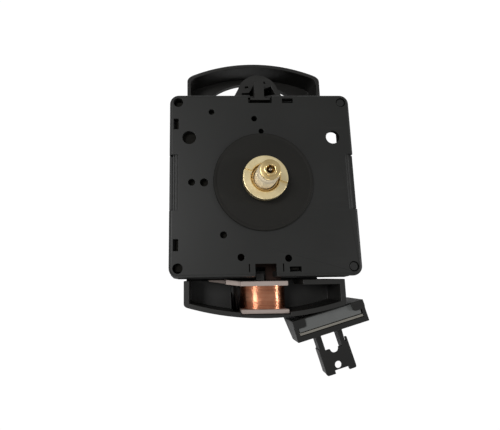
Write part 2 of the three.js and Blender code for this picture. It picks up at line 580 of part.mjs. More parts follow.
const minuteWorkWheel = () => arborSet(minuteWorkAxis,
  { count: toothCounts.minuteWork, toothModule: handModule, turn: turns.minuteWork,
    span: about(level.minuteWork, wheel.thick) },
  { count: toothCounts.minuteWorkPinion, toothModule: hourModule, turn: turns.minuteWorkPinion,
    span: [level.minuteWork + wheel.thick / 2, level.hour + wheel.thick] },
  [level.minuteWork - wheel.pinion / 2, plateBackZ - seat]);

const rotorPinion = () => arborSet(rotorAxis, null,
  { count: toothCounts.rotor, toothModule: motorModule, turn: turns.rotor,
    span: [level.rotor + rotorMagnet.thick / 2 + seat, level.intermediate + wheel.pinion / 2] },
  [pivotLow, bridgeTop]);

function rotorMagnetSolid() {
  const span = about(level.rotor, rotorMagnet.thick);
  const through = [span[0] - overrun, span[1] + overrun];
  return cut(disc(rotorMagnet.diameter, span, rotorAxis),
    [disc(wheel.arbor + 2 * seat, through, rotorAxis, pinSides)]);
}

// The centre wheel grips the minute arbor's sleeve by a collar, which slips when the hands are set
function centreWheel() {
  const span = about(level.centre, wheel.thick);
  const top = span[1] + clutch.rise;
  const collar = disc(clutch.diameter, [span[0], top], centreAxis);
  const bore = disc(minuteShaft.sleeve + 2 * clutch.fit, [span[0] - overrun, top + overrun], centreAxis);
  const toothed = gear(toothCounts.centre, centreModule, span, centreAxis, turns.centre);
  return cut(join([toothed, collar]), [bore]);
}

function settingKnob() {
  const discSpan = [knob.recess, knob.recess + knob.thick];
  const step = Math.PI / knob.fluteCount;
  const outer = knob.diameter / 2;
  const inner = outer - knob.fluteDepth;
  const rim = Array.from({ length: 2 * knob.fluteCount }, (_, i) => [i % 2 ? inner : outer, i * step]);
  const shape = new THREE.Shape(rim.map(([radius, angle]) =>
    new THREE.Vector2(knobAxis[0] + radius * Math.cos(angle), knobAxis[1] + radius * Math.sin(angle))));
  return join([
    prism(shape, discSpan),
    disc(knob.shaft, [discSpan[1] - knob.thick / 2, level.minuteWork], knobAxis, pinSides),
    gear(toothCounts.knob, handModule, cannonPinionSpan, knobAxis, turns.knob),
    disc(knob.pivot, [level.minuteWork, plateBackZ - seat], knobAxis, pinSides),
  ]);
}

// Train bridge: a plate on four feet
function trainBridge() {
  const feet = bridgeFootShares.map(onCase);
  const span = [bridge.z, bridgeTop];
  const footSpan = [floorZ + seat, bridge.z + bridge.thick / 2];
  const plate = join([prism(outline(feet), span),
    ...feet.map((place) => disc(bridge.pad, span, place, pinSides)),
    ...feet.map((place) => disc(bridge.foot, footSpan, place, pinSides)),
    disc(bridge.pad, span, rotorAxis, pinSides)]);
  const through = [bridge.z - overrun, bridgeTop + overrun];
  return cut(plate, [
    disc(secondsShaft.diameter + 2 * shaftGap, through, centreAxis, pinSides),
    ...[rotorAxis, intermediateAxis, thirdAxis].map((axis) =>
      disc(wheel.arbor + 2 * shaftGap, through, axis, pinSides)),
  ]);
}

// Stepping motor's stator, core, bobbin and winding
const coilEnds = [[motorCoil.x, motorCoil.highY], [motorCoil.x, motorCoil.lowY]];
const motorAxisZ = stator.z + stator.thick + seat + motorCoil.coreThick / 2;
const motorSpanY = [motorCoil.lowY + motorCoil.inset, motorCoil.highY - motorCoil.inset];

function statorSolid() {
  const span = [stator.z, stator.z + stator.thick];
  const body = join([disc(stator.ring, span, rotorAxis),
    ...coilEnds.map((end) => bar(rotorAxis, end, stator.arm, span)),
    ...coilEnds.map((end) => disc(stator.pad, span, end, pinSides))]);
  return cut(body, [disc(stator.bore, [span[0] - overrun, span[1] + overrun], rotorAxis)]);
}

const motorCore = () => block(about(motorCoil.x, motorCoil.coreWidth),
  [motorCoil.lowY - motorCoil.coreEnd, motorCoil.highY + motorCoil.coreEnd],
  about(motorAxisZ, motorCoil.coreThick));

const roundAlongY = (diameter, [y0, y1], sides) => solidOf(
  new THREE.CylinderGeometry(diameter / 2, diameter / 2, y1 - y0, sides)
    .translate(motorCoil.x, (y0 + y1) / 2, motorAxisZ));

const sleeveBlock = (extra, ySpan) => block(about(motorCoil.x, motorCoil.coreWidth + 2 * extra), ySpan,
  about(motorAxisZ, motorCoil.coreThick + 2 * extra));

function motorBobbin() {
  const [low, high] = motorSpanY;
  const flanges = [[low, low + motorCoil.flangeThick], [high - motorCoil.flangeThick, high]];
  return cut(join([sleeveBlock(seat + motorCoil.sleeve, motorSpanY),
    ...flanges.map((span) => roundAlongY(motorCoil.flange, span, smallSides))]),
    [sleeveBlock(seat, [low - overrun, high + overrun])]);
}

function motorWinding() {
  const inset = motorCoil.flangeThick + seat;
  const span = [motorSpanY[0] + inset, motorSpanY[1] - inset];
  return cut(roundAlongY(motorCoil.winding, span, smallSides),
    [sleeveBlock(2 * seat + motorCoil.sleeve, [span[0] - overrun, span[1] + overrun])]);
}

// Circuit board with the tongue that reaches out to the drive coil
const boardTop = board.z + board.thick;

function circuitBoard() {
  const right = halfWidth - board.sideInset;
  const tongueEnd = coilTop + loose;
  return prism(outline([[boardLeft, boardLow], [board.tongueLeft, boardLow], [board.tongueLeft, tongueEnd],
    [board.tongueRight, tongueEnd], [board.tongueRight, boardLow], [right, boardLow], [right, boardHigh],
    [boardLeft, boardHigh]]), [board.z, boardTop]);
}

function quartzCrystal() {
  const radius = crystal.diameter / 2;
  const can = new THREE.CylinderGeometry(radius, radius, crystal.length, pinSides);
  const centreX = boardLeft + crystal.fromLeft + crystal.length / 2;
  return solidOf(can.rotateZ(Math.PI / 2)
    .translate(centreX, boardHigh - crystal.fromTop, boardTop + seat + radius));
}

const chipCover = () => disc(chipCap.diameter, [boardTop + seat, boardTop + seat + chipCap.height],
  [boardLeft + chipCap.fromLeft, boardHigh - chipCap.fromTop]);

// Battery contacts at the two ends of the bay
function positiveContact() {
  const outer = bayHalfLength - seat;
  const depth = contact.thick + contact.buttonRise;
  const button = new THREE.CylinderGeometry(contact.button / 2, contact.button / 2, depth, smallSides);
  return join([
    block(about(bayCentreX, contact.width), [outer - contact.thick, outer], [contact.lowZ, contact.highZ]),
    solidOf(button.translate(bayCentreX, outer - depth / 2, bayCentreZ))]);
}

// A plate against the bay's end, with a leaf that springs out of it and back
function negativeContact() {
  const { thick, lowZ, highZ, spring } = contact;
  const rear = seat - bayHalfLength;
  const front = rear + thick;
  const crest = front + spring;
  const foot = front + 2 * thick;
  const profile = [[rear, lowZ], [front, lowZ], [front, highZ - thick],
    [crest, bayCentreZ + thick], [crest, bayCentreZ - thick], [foot, lowZ + spring], [foot, lowZ],
    [foot + thick, lowZ], [foot + thick, lowZ + spring], [crest + thick, bayCentreZ - thick],
    [crest + thick, bayCentreZ + thick], [front, highZ], [rear, highZ]];
  return prismAlongX(profile, about(bayCentreX, contact.width));
}

// Frame: back plate, hanger loop, pivot bracket and coil tray
const halfLoop = loopWidth / 2;
const aboveCase = rearHalfHeight + caseGap.top;

// The top of the loop is one arc, with a curve from each of its ends down to the side
function loopArc(shape, inset) {
  const side = halfLoop - inset;
  const radius = loopRadius - inset;
  const centreY = loopTop - loopRadius;
  const spread = Math.asin((side - loopCorner) / radius);
  const arcEnd = centreY + radius * Math.cos(spread);
  const bend = arcEnd - loopCorner * Math.tan(spread);
  shape.lineTo(side, loopShoulder - inset);
  shape.quadraticCurveTo(side, bend, side - loopCorner, arcEnd);
  shape.absarc(0, centreY, radius, Math.PI / 2 - spread, Math.PI / 2 + spread);
  shape.quadraticCurveTo(-side, bend, -side, loopShoulder - inset);
}

const trayEdge = (x, radius = trayRadius) => trayArcY - Math.sqrt(radius ** 2 - x ** 2);

function trayArc(shape, radius, from, to) {
  const angle = (x) => -Math.acos(x / radius);
  shape.absarc(0, trayArcY, radius, angle(from), angle(to), from > to);
}

// The tray's bottom from side to side, with rounded corners
function trayFoot(shape) {
  const arcEnd = halfTray - tray.corner;
  shape.lineTo(-halfTray, trayCornerY + tray.corner);
  shape.quadraticCurveTo(-halfTray, trayCornerY, -arcEnd, trayEdge(arcEnd));
  trayArc(shape, trayRadius, -arcEnd, arcEnd);
  shape.quadraticCurveTo(halfTray, trayCornerY, halfTray, trayCornerY + tray.corner);
}

function backPlateShape() {
  const caseLow = -(rearHalfHeight - caseGap.bottom);
  const shape = new THREE.Shape();
  shape.moveTo(halfLoop, trayTop + caseGap.bottom);
  loopArc(shape, 0);
  shape.lineTo(-halfLoop, halfHeight - caseGap.bottom);
  shape.lineTo(frameLeft, halfHeight - caseGap.bottom);
  shape.lineTo(frameLeft, caseLow);
  shape.lineTo(-halfTray, caseLow);
  trayFoot(shape);
  shape.lineTo(halfTray, trayTop);
  shape.lineTo(slotLeft, trayTop);
  shape.lineTo(slotLeft, trayTop + caseGap.bottom);
  return shape;
}

function loopBand(inset, low) {
  const shape = new THREE.Shape();
  shape.moveTo(halfLoop - inset, low);
  loopArc(shape, inset);
  shape.lineTo(-halfLoop + inset, low);
  return shape;
}

function loopHole() {
  const { width, radius } = loopOpening;
  const top = halfHeight + loopOpening.topRise;
  const bottom = halfHeight + loopOpening.bottomRise;
  const spread = Math.asin(width / 2 / radius);
  const shape = new THREE.Shape();
  shape.moveTo(-width / 2, bottom);
  shape.lineTo(width / 2, bottom);
  shape.absarc(0, top - radius, radius, Math.PI / 2 - spread, Math.PI / 2 + spread);
  return shape;
}

function trayOutline() {
  const shape = new THREE.Shape();
  shape.moveTo(halfTray, trayTop);
  shape.lineTo(-halfTray, trayTop);
  trayFoot(shape);
  return shape;
}

// A hollow of the tray in plan, inset by its walls
function trayHollow(left, right, high, radius) {
  const shape = new THREE.Shape();
  shape.moveTo(right, high);
  shape.lineTo(left, high);
  shape.lineTo(left, trayEdge(left, radius));
  trayArc(shape, radius, left, right);
  return shape;
}

// Half a ring over the pivot, on feet that flare outwards
function bracketShape(inset, low) {
  const radius = bracket.diameter / 2 - inset;
  const foot = bracket.footWidth / 2 - inset;
  const turn = Math.asin(bracket.flareRise / radius);
  const shape = new THREE.Shape();
  shape.moveTo(-foot, aboveCase);
  shape.lineTo(-foot, low);
  shape.lineTo(foot, low);
  shape.lineTo(foot, aboveCase);
  shape.absarc(0, pivotY, radius, turn, Math.PI - turn);
  return shape;
}

// An outline in the bracket's front, from shares of its radius
function bracketHole(shares) {
  const radius = bracket.diameter / 2;
  return outline(shares.map(([x, y]) => [x * radius, pivotY + y * radius]));
}

function pendulumFrame() {
  const plateSpan = [0, backPlate];
  const through = [-overrun, backPlate + overrun];
  const screws = frameScrewPlaces;
  const traySpan = [tray.floorZ, trayFrontZ];
  const innerRadius = trayRadius - tray.bottomWall;
  const innerSide = halfTray - tray.wall;
  const cavitySpan = [tray.floorZ + tray.floor, trayFrontZ + overrun];
  const frontPlate = [bracket.frontZ - bracket.front, bracket.frontZ];

  const roundPivot = disc(bracket.diameter, [-2 * overrun, backPlate + 2 * overrun], pivot);
  const plate = cut(prism(backPlateShape(), plateSpan, arcSteps), [
    cut(prism(loopHole(), through, arcSteps), [roundPivot])]);
  const loop = cut(prism(loopBand(0, aboveCase), [0, loopDepth], arcSteps),
    [prism(loopBand(loopWall, aboveCase - overrun), [backPlate, loopDepth + overrun], arcSteps),
      prism(loopHole(), through, arcSteps)]);
  const frontHole = [frontPlate[0] - overrun, frontPlate[1] + overrun];
  const bracketShell = cut(prism(bracketShape(0, aboveCase), [0, bracket.frontZ], arcSteps), [
    prism(bracketShape(bracket.wall, aboveCase - overrun), [backPlate, frontPlate[0]], arcSteps),
    prism(bracketHole(bracketPocketShares), frontHole),
    prism(bracketHole(latchGapShares), frontHole)]);
  const latchFoot = halfHeight - latch.footBelow;
  const latchSpan = [bracket.frontZ, latch.frontZ];
  const halfStem = latch.stem / 2;
  const stemTop = halfHeight + latch.rise;
  const latchBar = join([
    prism(outline([[-halfStem, aboveCase], [halfStem, aboveCase], [halfStem, stemTop, latch.round],
      [-halfStem, stemTop, latch.round]]), [bracket.frontZ - bracket.front / 2, latch.frontZ]),
    block([-halfStem, halfStem], [latchFoot - overrun, aboveCase + overrun], latchSpan),
    block([-latch.footLeft, latch.footRight], [latchFoot - latch.footLong, latchFoot], latchSpan)]);

  const sideWalls = [-1, 1].map((side) => {
    const inner = side * innerSide;
    const outer = side * halfTray;
    return block([Math.min(inner, outer), Math.max(inner, outer)],
      [trayCornerY + tray.corner, trayTop], [0, tray.floorZ + tray.floor]);
  });
  const lidLow = trayTop - tray.lid;
  const partition = tray.bridgeWall - tray.bridgeX;
  const aboveTray = trayTop + overrun;
  const cavities = [
    prism(trayHollow(-innerSide, -tray.bridgeX, aboveTray, innerRadius), cavitySpan, arcSteps),
    prism(trayHollow(partition, innerSide, lidLow, innerRadius), cavitySpan, arcSteps),
    prism(trayHollow(-innerSide, partition + seat, aboveTray, innerRadius),
      [tray.bridgeZ, trayFrontZ + overrun], arcSteps),
    block([-tray.bridgeX - overrun, tray.lidLeft], [coilTop - coil.topFlange, aboveTray], cavitySpan),
    block([partition, tray.lidLeft], [lidLow - overrun, aboveTray], cavitySpan),
    block(about(0, coil.width + 2 * coil.fit),
      [coilBottom - coil.fit, coilBottom + coil.bottomFlange + overrun],
      [coil.backZ - coil.fit, trayFrontZ + overrun]),
  ];
  const trayOuter = prism(trayOutline(), traySpan, arcSteps);
  const trayBody = join([cut(trayOuter, cavities), ...sideWalls]);

  const hookZ = [tray.floorZ, caseHook.frontZ];
  const hookY = coilTop + seat;
  const hookTab = join([
    block([caseHook.left, caseHook.right], [hookY, hookY + caseHook.thick], hookZ),
    block([caseHook.left, caseHook.right], [trayTop - caseHook.thick, hookY + caseHook.thick],
      [tray.floorZ, tray.floorZ + tray.floor]),
    block([caseHook.left, caseHook.right], [hookY, hookY + caseHook.reach],
      [caseHook.frontZ - caseHook.nose, caseHook.frontZ])]);
  const railBlock = block([halfLoop - rail.width, halfLoop],
    [-(halfHeight - caseGap.bottom), aboveCase], [0, rail.topZ]);
  const posts = screws.map((place) =>
    disc(frameScrew.post, [backPlate / 2, caseBackZ - seat], place, pinSides));

  const cutters = [
    disc(pivotPin.diameter + 2 * seat, through, pivot, pinSides),
    disc(knob.diameter + 2 * knob.fit, through, knobAxis),
    disc(mountHole.diameter, [-overrun, rail.topZ + overrun], [mountX, mountHole.y]),
    ...screws.map((place) => disc(frameScrew.shank + 2 * frameScrew.fit,
      [-overrun, caseBackZ + overrun], place, pinSides)),
    ...screws.map((place) => disc(frameScrew.head + 2 * frameScrew.fit,
      [-overrun, frameScrew.sink + frameScrew.headThick], place, pinSides)),
  ];
  return cut(join([plate, loop, bracketShell, latchBar, trayBody, hookTab, railBlock, ...posts]), cutters);
}

function screwSolid(place) {
  const { head, headThick, shank, topZ, sink, slot, slotDepth } = frameScrew;
  const seatZ = sink + headThick - seat;
  const body = join([disc(head, [sink, seatZ], place),
    disc(shank, [seatZ - headThick / 2, topZ - seat], place, pinSides)]);
  return cut(body, [block(about(place[0], head + overrun), about(place[1], slot),
    [sink - overrun, sink + slotDepth])]);
}

// Drive coil: bobbin, inner winding and the wound outer layer
const coilAt = (halfX, halfZ, angle) => {
  const bulge = 2 / coil.squareness;
  const cos = Math.cos(angle);
  const sin = Math.sin(angle);
  const [across, out] = [cos, sin].map((value) => Math.sign(value) * Math.abs(value) ** bulge);
  return [halfX * across, coilZ + halfZ * out];
};
const windingTop = coilTop - coil.topFlange;
const windingBottom = coilBottom + coil.bottomFlange;

// A rounded section about the coil's axis, extruded along Y
function coilPrism(halfX, halfZ, [y0, y1]) {
  const count = wire.loopSteps;
  const points = Array.from({ length: count }, (_, i) => coilAt(halfX, halfZ, 2 * Math.PI * i / count));
  const shape = new THREE.Shape(points.map(([x, z]) => new THREE.Vector2(x, -z)));
  const drum = new THREE.ExtrudeGeometry(shape, { depth: y1 - y0, bevelEnabled: false });
  return solidOf(drum.rotateX(-Math.PI / 2).translate(0, y0, 0));
}

function coilBobbin() {
  const half = coil.width / 2;
  const flange = (span) => block([-half, half], span, [coil.backZ, coil.frontZ]);
  const ledgeX = -half - coilWing.ledge;
  const ledgeTop = coilTop + coilWing.lift;
  const ledgeLow = ledgeTop - coil.topFlange;
  const tipX = -half - coilWing.reach;
  const shapeOf = (points) => new THREE.Shape(points.map(([x, y]) => new THREE.Vector2(x, y)));
  const ledge = shapeOf([[seat - half, windingTop], [seat - half, coilTop], [-half, coilTop],
    [ledgeX, ledgeTop], [ledgeX, ledgeLow], [-half, windingTop]]);
  const tail = shapeOf([[ledgeX + seat, ledgeLow + seat], [ledgeX + seat, ledgeTop - seat],
    [tipX, ledgeTop - seat], [tipX, ledgeTop - seat - coilWing.tipThick]]);
  const body = join([
    flange([windingTop, coilTop]), flange([coilBottom, windingBottom]),
    block([-coil.sleeveX, coil.sleeveX], [windingBottom - seat, windingTop + seat],
      about(coilZ, 2 * coil.sleeveZ)),
    prism(ledge, [coilWing.backZ, coilWing.frontZ]),
    prism(tail, [coilWing.tailBackZ, coilWing.tailFrontZ])]);
  const boreLength = coilTop - coilBottom + 2 * overrun;
  const bore = new THREE.CylinderGeometry(coil.bore / 2, coil.bore / 2, boreLength, smallSides);
  return cut(body, [solidOf(bore.translate(0, (coilTop + coilBottom) / 2, coilZ))]);
}

function coilCore() {
  const span = [windingBottom + seat, windingTop - seat];
  const inner = block([-coil.sleeveX - seat, coil.sleeveX + seat], [span[0] - overrun, span[1] + overrun],
    about(coilZ, 2 * (coil.sleeveZ + seat)));
  return cut(coilPrism(coil.coreX, coil.coreZ, span), [inner]);
}

// The outer layer's centre line: straight out of the top flange, round the core, and straight into
// the bottom one
function windingPath() {
  const off = loose + wire.diameter / 2;
  const steps = wire.loopCount * wire.loopSteps;
  const height = windingTop - windingBottom - 2 * (seat + wire.diameter + wire.endGap);
  const firstY = (windingTop + windingBottom + height) / 2;
  const points = [];
  for (let i = 0; i <= steps; i += 1) {
    const angle = 2 * Math.PI * i / wire.loopSteps - Math.PI / 2;
    const [x, z] = coilAt(coil.coreX + off, coil.coreZ + off, angle);
    points.push(new THREE.Vector3(x, firstY - height * i / steps, z));
  }
  const first = points[0].clone();
  const last = points[steps].clone();
  const back = new THREE.Vector3(-wire.bend, 0, 0);
  const lead = (from, side, y) => new THREE.Vector3(from.x + side * back.x, y, from.z);
  const topEnd = windingTop - seat;
  const bottomEnd = windingBottom + seat;
  points.unshift(lead(first, 1, topEnd), lead(first, 1, topEnd - wire.diameter));
  points.push(lead(last, -1, bottomEnd + wire.diameter), lead(last, -1, bottomEnd));
  return points;
}

// A closed tube of flat sides through the points
function tubeAlong(points, diameter, sides) {
  const positions = [];
  const triangles = [];
  let up = new THREE.Vector3(0, 0, 1);
  points.forEach((point, i) => {
    const before = points[Math.max(i - 1, 0)];
    const after = points[Math.min(i + 1, points.length - 1)];
    const along = after.clone().sub(before).normalize();
    const side = new THREE.Vector3().crossVectors(along, up).normalize();
    up = new THREE.Vector3().crossVectors(side, along).normalize();
    for (let k = 0; k < sides; k += 1) {
      const angle = 2 * Math.PI * k / sides;
      const spoke = side.clone().multiplyScalar(Math.cos(angle)).addScaledVector(up, Math.sin(angle));
      positions.push(...point.clone().addScaledVector(spoke, diameter / 2).toArray());
    }
  });
  for (let i = 0; i < points.length - 1; i += 1) {
    for (let k = 0; k < sides; k += 1) {
      const a = i * sides + k;
      const b = i * sides + (k + 1) % sides;
      triangles.push(a, a + sides, b, b, a + sides, b + sides);
    }
  }
  const lastRing = (points.length - 1) * sides;
  for (let k = 1; k < sides - 1; k += 1) {
    triangles.push(0, k, k + 1, lastRing, lastRing + k + 1, lastRing + k);
  }
  const geometry = new THREE.BufferGeometry();
  geometry.setAttribute('position', new THREE.BufferAttribute(new Float32Array(positions), 3));
  geometry.setIndex(triangles);
  return solidOf(geometry);
}

// Least gap between stretches of the winding that are more than a quarter of a loop apart
function leastGap(points, diameter) {
  let least = Infinity;
  const apart = wire.loopSteps / 4;
  points.forEach((point, i) => points.slice(i + apart).forEach((other) => {
    least = Math.min(least, point.distanceTo(other) - diameter);
  }));
  return least;
}

function coilWinding() {
  const points = windingPath();
  console.log(`drive coil winding: least gap to itself ${leastGap(points, wire.diameter).toFixed(2)} mm`);
  return tubeAlong(points, wire.diameter, wire.sides);
}

// Pendulum, drawn hanging straight down from the pivot at the origin of its own group
const pinSolid = () => disc(pivotPin.diameter, [pivotPin.footZ, pivotPin.topZ], pivot);

function pendulumArm() {
  const halfHolder = holder.width / 2;
  const halfArm = armWidth / 2;
  const armSpan = [armZ, armZ + armThick];
  const body = prismAlongX([[-holderBottom, holder.frontZ], [-holderBottom, holder.backZ],
    [-holderTop, armZ], [-holderTop, holder.frontZ]], [-halfHolder, halfHolder]);
  const pocket = block([holder.rim - halfHolder, halfHolder - holder.rim],
    [holder.bottomRim - holderBottom, -holderTop - holder.topRim],
    [holder.pocketZ, holder.frontZ + overrun]);
  const clipLow = -holderTop - clip.reach;
  const clips = [-1, 1].map((side) => prism(outline([
    [side * clip.inner, -holderTop], [side * clip.inner, clipLow, clip.round],
    [side * halfHolder, clipLow, clip.round], [side * halfHolder, -holderTop]]),
    [holder.frontZ, holder.frontZ + clip.thick]));
  const arm = block([-halfArm, halfArm], [-holderTop - overrun, 0], armSpan);
  const hubDisc = disc(hub.diameter, armSpan);
  const boss = disc(hub.boss, [armZ, hub.topZ]);
  const bore = disc(pivotPin.diameter + 2 * shaftGap, [armZ - overrun, hub.topZ + overrun],
    [0, 0], pinSides);
  return cut(join([cut(body, [pocket]), ...clips, arm, hubDisc, boss]), [bore]);
}

const magnetSolid = () => block(about(0, magnet.width), [-magnetBottom, -magnetTop],
  [holder.pocketZ + loose, holder.frontZ - loose]);

const yokeSolid = () => block(about(0, yoke.width),
  [-magnetBottom - seat - yoke.thick, -magnetBottom - seat],
  [holder.pocketZ + loose, holder.frontZ - loose / 2]);

function rodHook() {
  const half = hook.width / 2;
  const below = (distance) => -(holderBottom + distance);
  const [top, shoulder, foot, windowFoot] = [loose, hook.shoulder, hook.foot, hook.windowFoot].map(below);
  const span = [hook.z, hook.frontZ];
  const through = [hook.z - overrun, hook.frontZ + overrun];
  const legLow = windowFoot - hook.plate;
  const slitLeft = half - hook.barb - hook.slit;
  const rims = [-1, 1].map((side) => {
    const ends = [side * half, side * (half - hook.flange)];
    return block([Math.min(...ends), Math.max(...ends)], [foot + hook.corner, shoulder], span);
  });
  const legs = [
    block([-hook.armOuterLeft, -hook.armInnerLeft], [legLow, top], span),
    block([hook.armInnerRight, slitLeft], [legLow, top], span)];
  const plate = prism(outline([
    [-half, foot, hook.corner], [-hook.recessLeft, foot], [-hook.recessLeft, foot + hook.recess],
    [hook.recessRight, foot + hook.recess], [hook.recessRight, foot], [half, foot, hook.corner],
    [half, below(hook.barbDown)], [half - hook.barb, below(hook.barbDown)], [half - hook.barb, shoulder],
    [slitLeft, shoulder], [hook.armOuterRight - hook.slit, top],
    [hook.armInnerRight, top], [hook.armInnerRight, windowFoot], [-hook.armInnerLeft, windowFoot],
    [-hook.armInnerLeft, top], [-hook.armOuterLeft, top], [-hook.armOuterLeft, shoulder],
    [-half, shoulder]]), [hook.frontZ - hook.plate, hook.frontZ]);
  return cut(join([plate, ...rims, ...legs]), [
    disc(hook.notch, through, [0, windowFoot], smallSides),
    disc(hook.hole, through, [hook.holeX, below(hook.holeDown)], smallSides),
  ]);
}

// Assembly
function piece(name, solid, material) {
  const { vertProperties, triVerts } = solid.getMesh();
  const geometry = new THREE.BufferGeometry();
  geometry.setAttribute('position', new THREE.BufferAttribute(vertProperties, 3));
  geometry.setIndex(new THREE.BufferAttribute(triVerts, 1));
  geometry.computeVertexNormals();
  const mesh = new THREE.Mesh(geometry, material);
  mesh.name = name;
  return mesh;
}

const movement = new THREE.Group();
movement.add(
  piece('front_cover', frontCover(), blackPlastic),
  piece('rear_case', rearCase(), blackPlastic),
  piece('rubber_washer', washerSolid(), rubber),
  piece('centre_bush', bushSolid(), brass),
  piece('bush_nut', nutSolid(), brass),
  piece('hour_wheel', hourWheel(), creamPlastic),
  piece('minute_arbor', minuteArbor(), brass),
  piece('centre_wheel', centreWheel(), whitePlastic),
  piece('seconds_arbor', secondsArbor(), brass),
  piece('seconds_wheel', secondsWheel(), whitePlastic),
  piece('third_wheel', thirdWheel(), whitePlastic),
  piece('intermediate_wheel', intermediateWheel(), whitePlastic),
  piece('minute_work_wheel', minuteWorkWheel(), whitePlastic),
  piece('rotor_pinion', rotorPinion(), whitePlastic),
  piece('rotor_magnet', rotorMagnetSolid(), ferrite),
  piece('setting_knob', settingKnob(), blackPlastic),
  piece('train_bridge', trainBridge(), blackPlastic),
  piece('stator', statorSolid(), blueSteel),
  piece('motor_core', motorCore(), blueSteel),
  piece('motor_bobbin', motorBobbin(), whitePlastic),
  piece('motor_winding', motorWinding(), copper),
  piece('circuit_board', circuitBoard(), phenolic),
  piece('quartz_crystal', quartzCrystal(), blueSteel),
  piece('chip_cap', chipCover(), epoxy),
  piece('positive_contact', positiveContact(), blueSteel),
  piece('negative_contact', negativeContact(), blueSteel),
  piece('pendulum_frame', pendulumFrame(), blackPlastic),
  piece('pivot_pin', pinSolid(), blueSteel),
  piece('coil_bobbin', coilBobbin(), whitePlastic),
  piece('coil_core', coilCore(), copper),
  piece('coil_winding', coilWinding(), copper),
);
frameScrewPlaces.forEach((place, i) => {
  movement.add(piece(`frame_screw_${i + 1}`, screwSolid(place), blueSteel));
});

const pendulum = new THREE.Group();
pendulum.position.set(0, pivotY, 0);
pendulum.rotation.z = radians(restDeg);
pendulum.add(
  piece('pendulum_arm', pendulumArm(), blackPlastic),
  piece('pendulum_magnet', magnetSolid(), ferrite),
  piece('yoke_plate', yokeSolid(), blueSteel),
  piece('rod_hook', rodHook(), blackPlastic),
);
movement.add(pendulum);

export default movement;
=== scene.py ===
import json
import math

import bmesh
import bpy
from mathutils import Matrix, Vector


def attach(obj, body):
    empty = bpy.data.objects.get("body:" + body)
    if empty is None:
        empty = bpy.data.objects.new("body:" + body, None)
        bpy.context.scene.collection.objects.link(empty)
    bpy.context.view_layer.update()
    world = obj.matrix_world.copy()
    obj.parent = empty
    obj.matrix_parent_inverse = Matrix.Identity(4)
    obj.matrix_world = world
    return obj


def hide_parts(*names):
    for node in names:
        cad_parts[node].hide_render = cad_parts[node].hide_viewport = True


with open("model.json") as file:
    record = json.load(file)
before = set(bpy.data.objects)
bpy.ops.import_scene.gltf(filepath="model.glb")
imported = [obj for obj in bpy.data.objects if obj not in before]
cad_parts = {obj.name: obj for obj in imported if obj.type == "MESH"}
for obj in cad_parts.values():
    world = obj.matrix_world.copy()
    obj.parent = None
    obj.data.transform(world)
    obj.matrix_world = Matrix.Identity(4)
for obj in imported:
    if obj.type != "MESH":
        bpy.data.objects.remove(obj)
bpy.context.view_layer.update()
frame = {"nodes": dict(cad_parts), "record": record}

# Lengths are in millimetres while a piece is shaped, and it is brought to metres when it is fitted.
MM = 0.001
TURN = 2 * math.pi
# Points of a solid closer than this are one point, before and after it is cut.
WELD, WELD_CUT = 0.0004, 0.0008
# Faces that meet at less than FLAT are one face, and edges that bend by more than SHARP are rounded.
FLAT, SHARP = math.radians(0.6), math.radians(28)
# A tool stands this far past what it cuts.
CLEAR = 0.5

# Heights above the frame's back
SEAM = 13.5
PLATE_BACK = 21.0
DIAL = 22.5
# Half widths of the case, outside and inside
CASE = 28.0
COVER_INSIDE = 26.4
# The pendulum's pin, and its lean at rest
PIVOT = (0, 30)
LEAN = math.radians(15.7)
# Strength at which the floor and the surround are white to the camera
SEEN_WHITE = 1.03


# Camera at the photograph's angle
def place_camera():
    width, height = 500, 430
    focal, sensor = 368, 36
    middle = (215.944, 206.894)
    roll, yaw, pitch = 0.00884935, 0.0308168, -0.188265
    place = Vector((-17.5289, -27.8187, 105.957 + DIAL)) * MM
    lens = bpy.data.cameras.new("camera")
    camera = bpy.data.objects.new("camera", lens)
    bpy.context.scene.collection.objects.link(camera)
    lens.sensor_width = sensor
    lens.lens = focal / width * sensor
    lens.shift_x = (width / 2 - middle[0]) / width
    lens.shift_y = (middle[1] - height / 2) / width
    lens.clip_start = 0.005
    lens.clip_end = 20
    turn = Matrix.Rotation(roll, 3, "Z") @ Matrix.Rotation(yaw, 3, "Y") @ Matrix.Rotation(pitch, 3, "X")
    camera.matrix_world = Matrix.Translation(place) @ turn.transposed().to_4x4()
    bpy.context.scene.camera = camera


place_camera()


# Finishes: shader sockets that Python's own operators work on
class Link:
    def __init__(self, finish, socket):
        self.finish = finish
        self.socket = socket

    def math(self, operation, first, second):
        return self.finish.add("ShaderNodeMath", {"operation": operation}, {0: first, 1: second})

    def __add__(self, other):
        return self.math("ADD", self, other)

    def __radd__(self, other):
        return self.math("ADD", other, self)

    def __mul__(self, other):
        return self.math("MULTIPLY", self, other)

    def __rmul__(self, other):
        return self.math("MULTIPLY", other, self)

    def __pow__(self, other):
        return self.math("POWER", self, other)

    def __abs__(self):
        return self.math("ABSOLUTE", self, 0.0)


def rgb(*values):
    return (*values, 1)


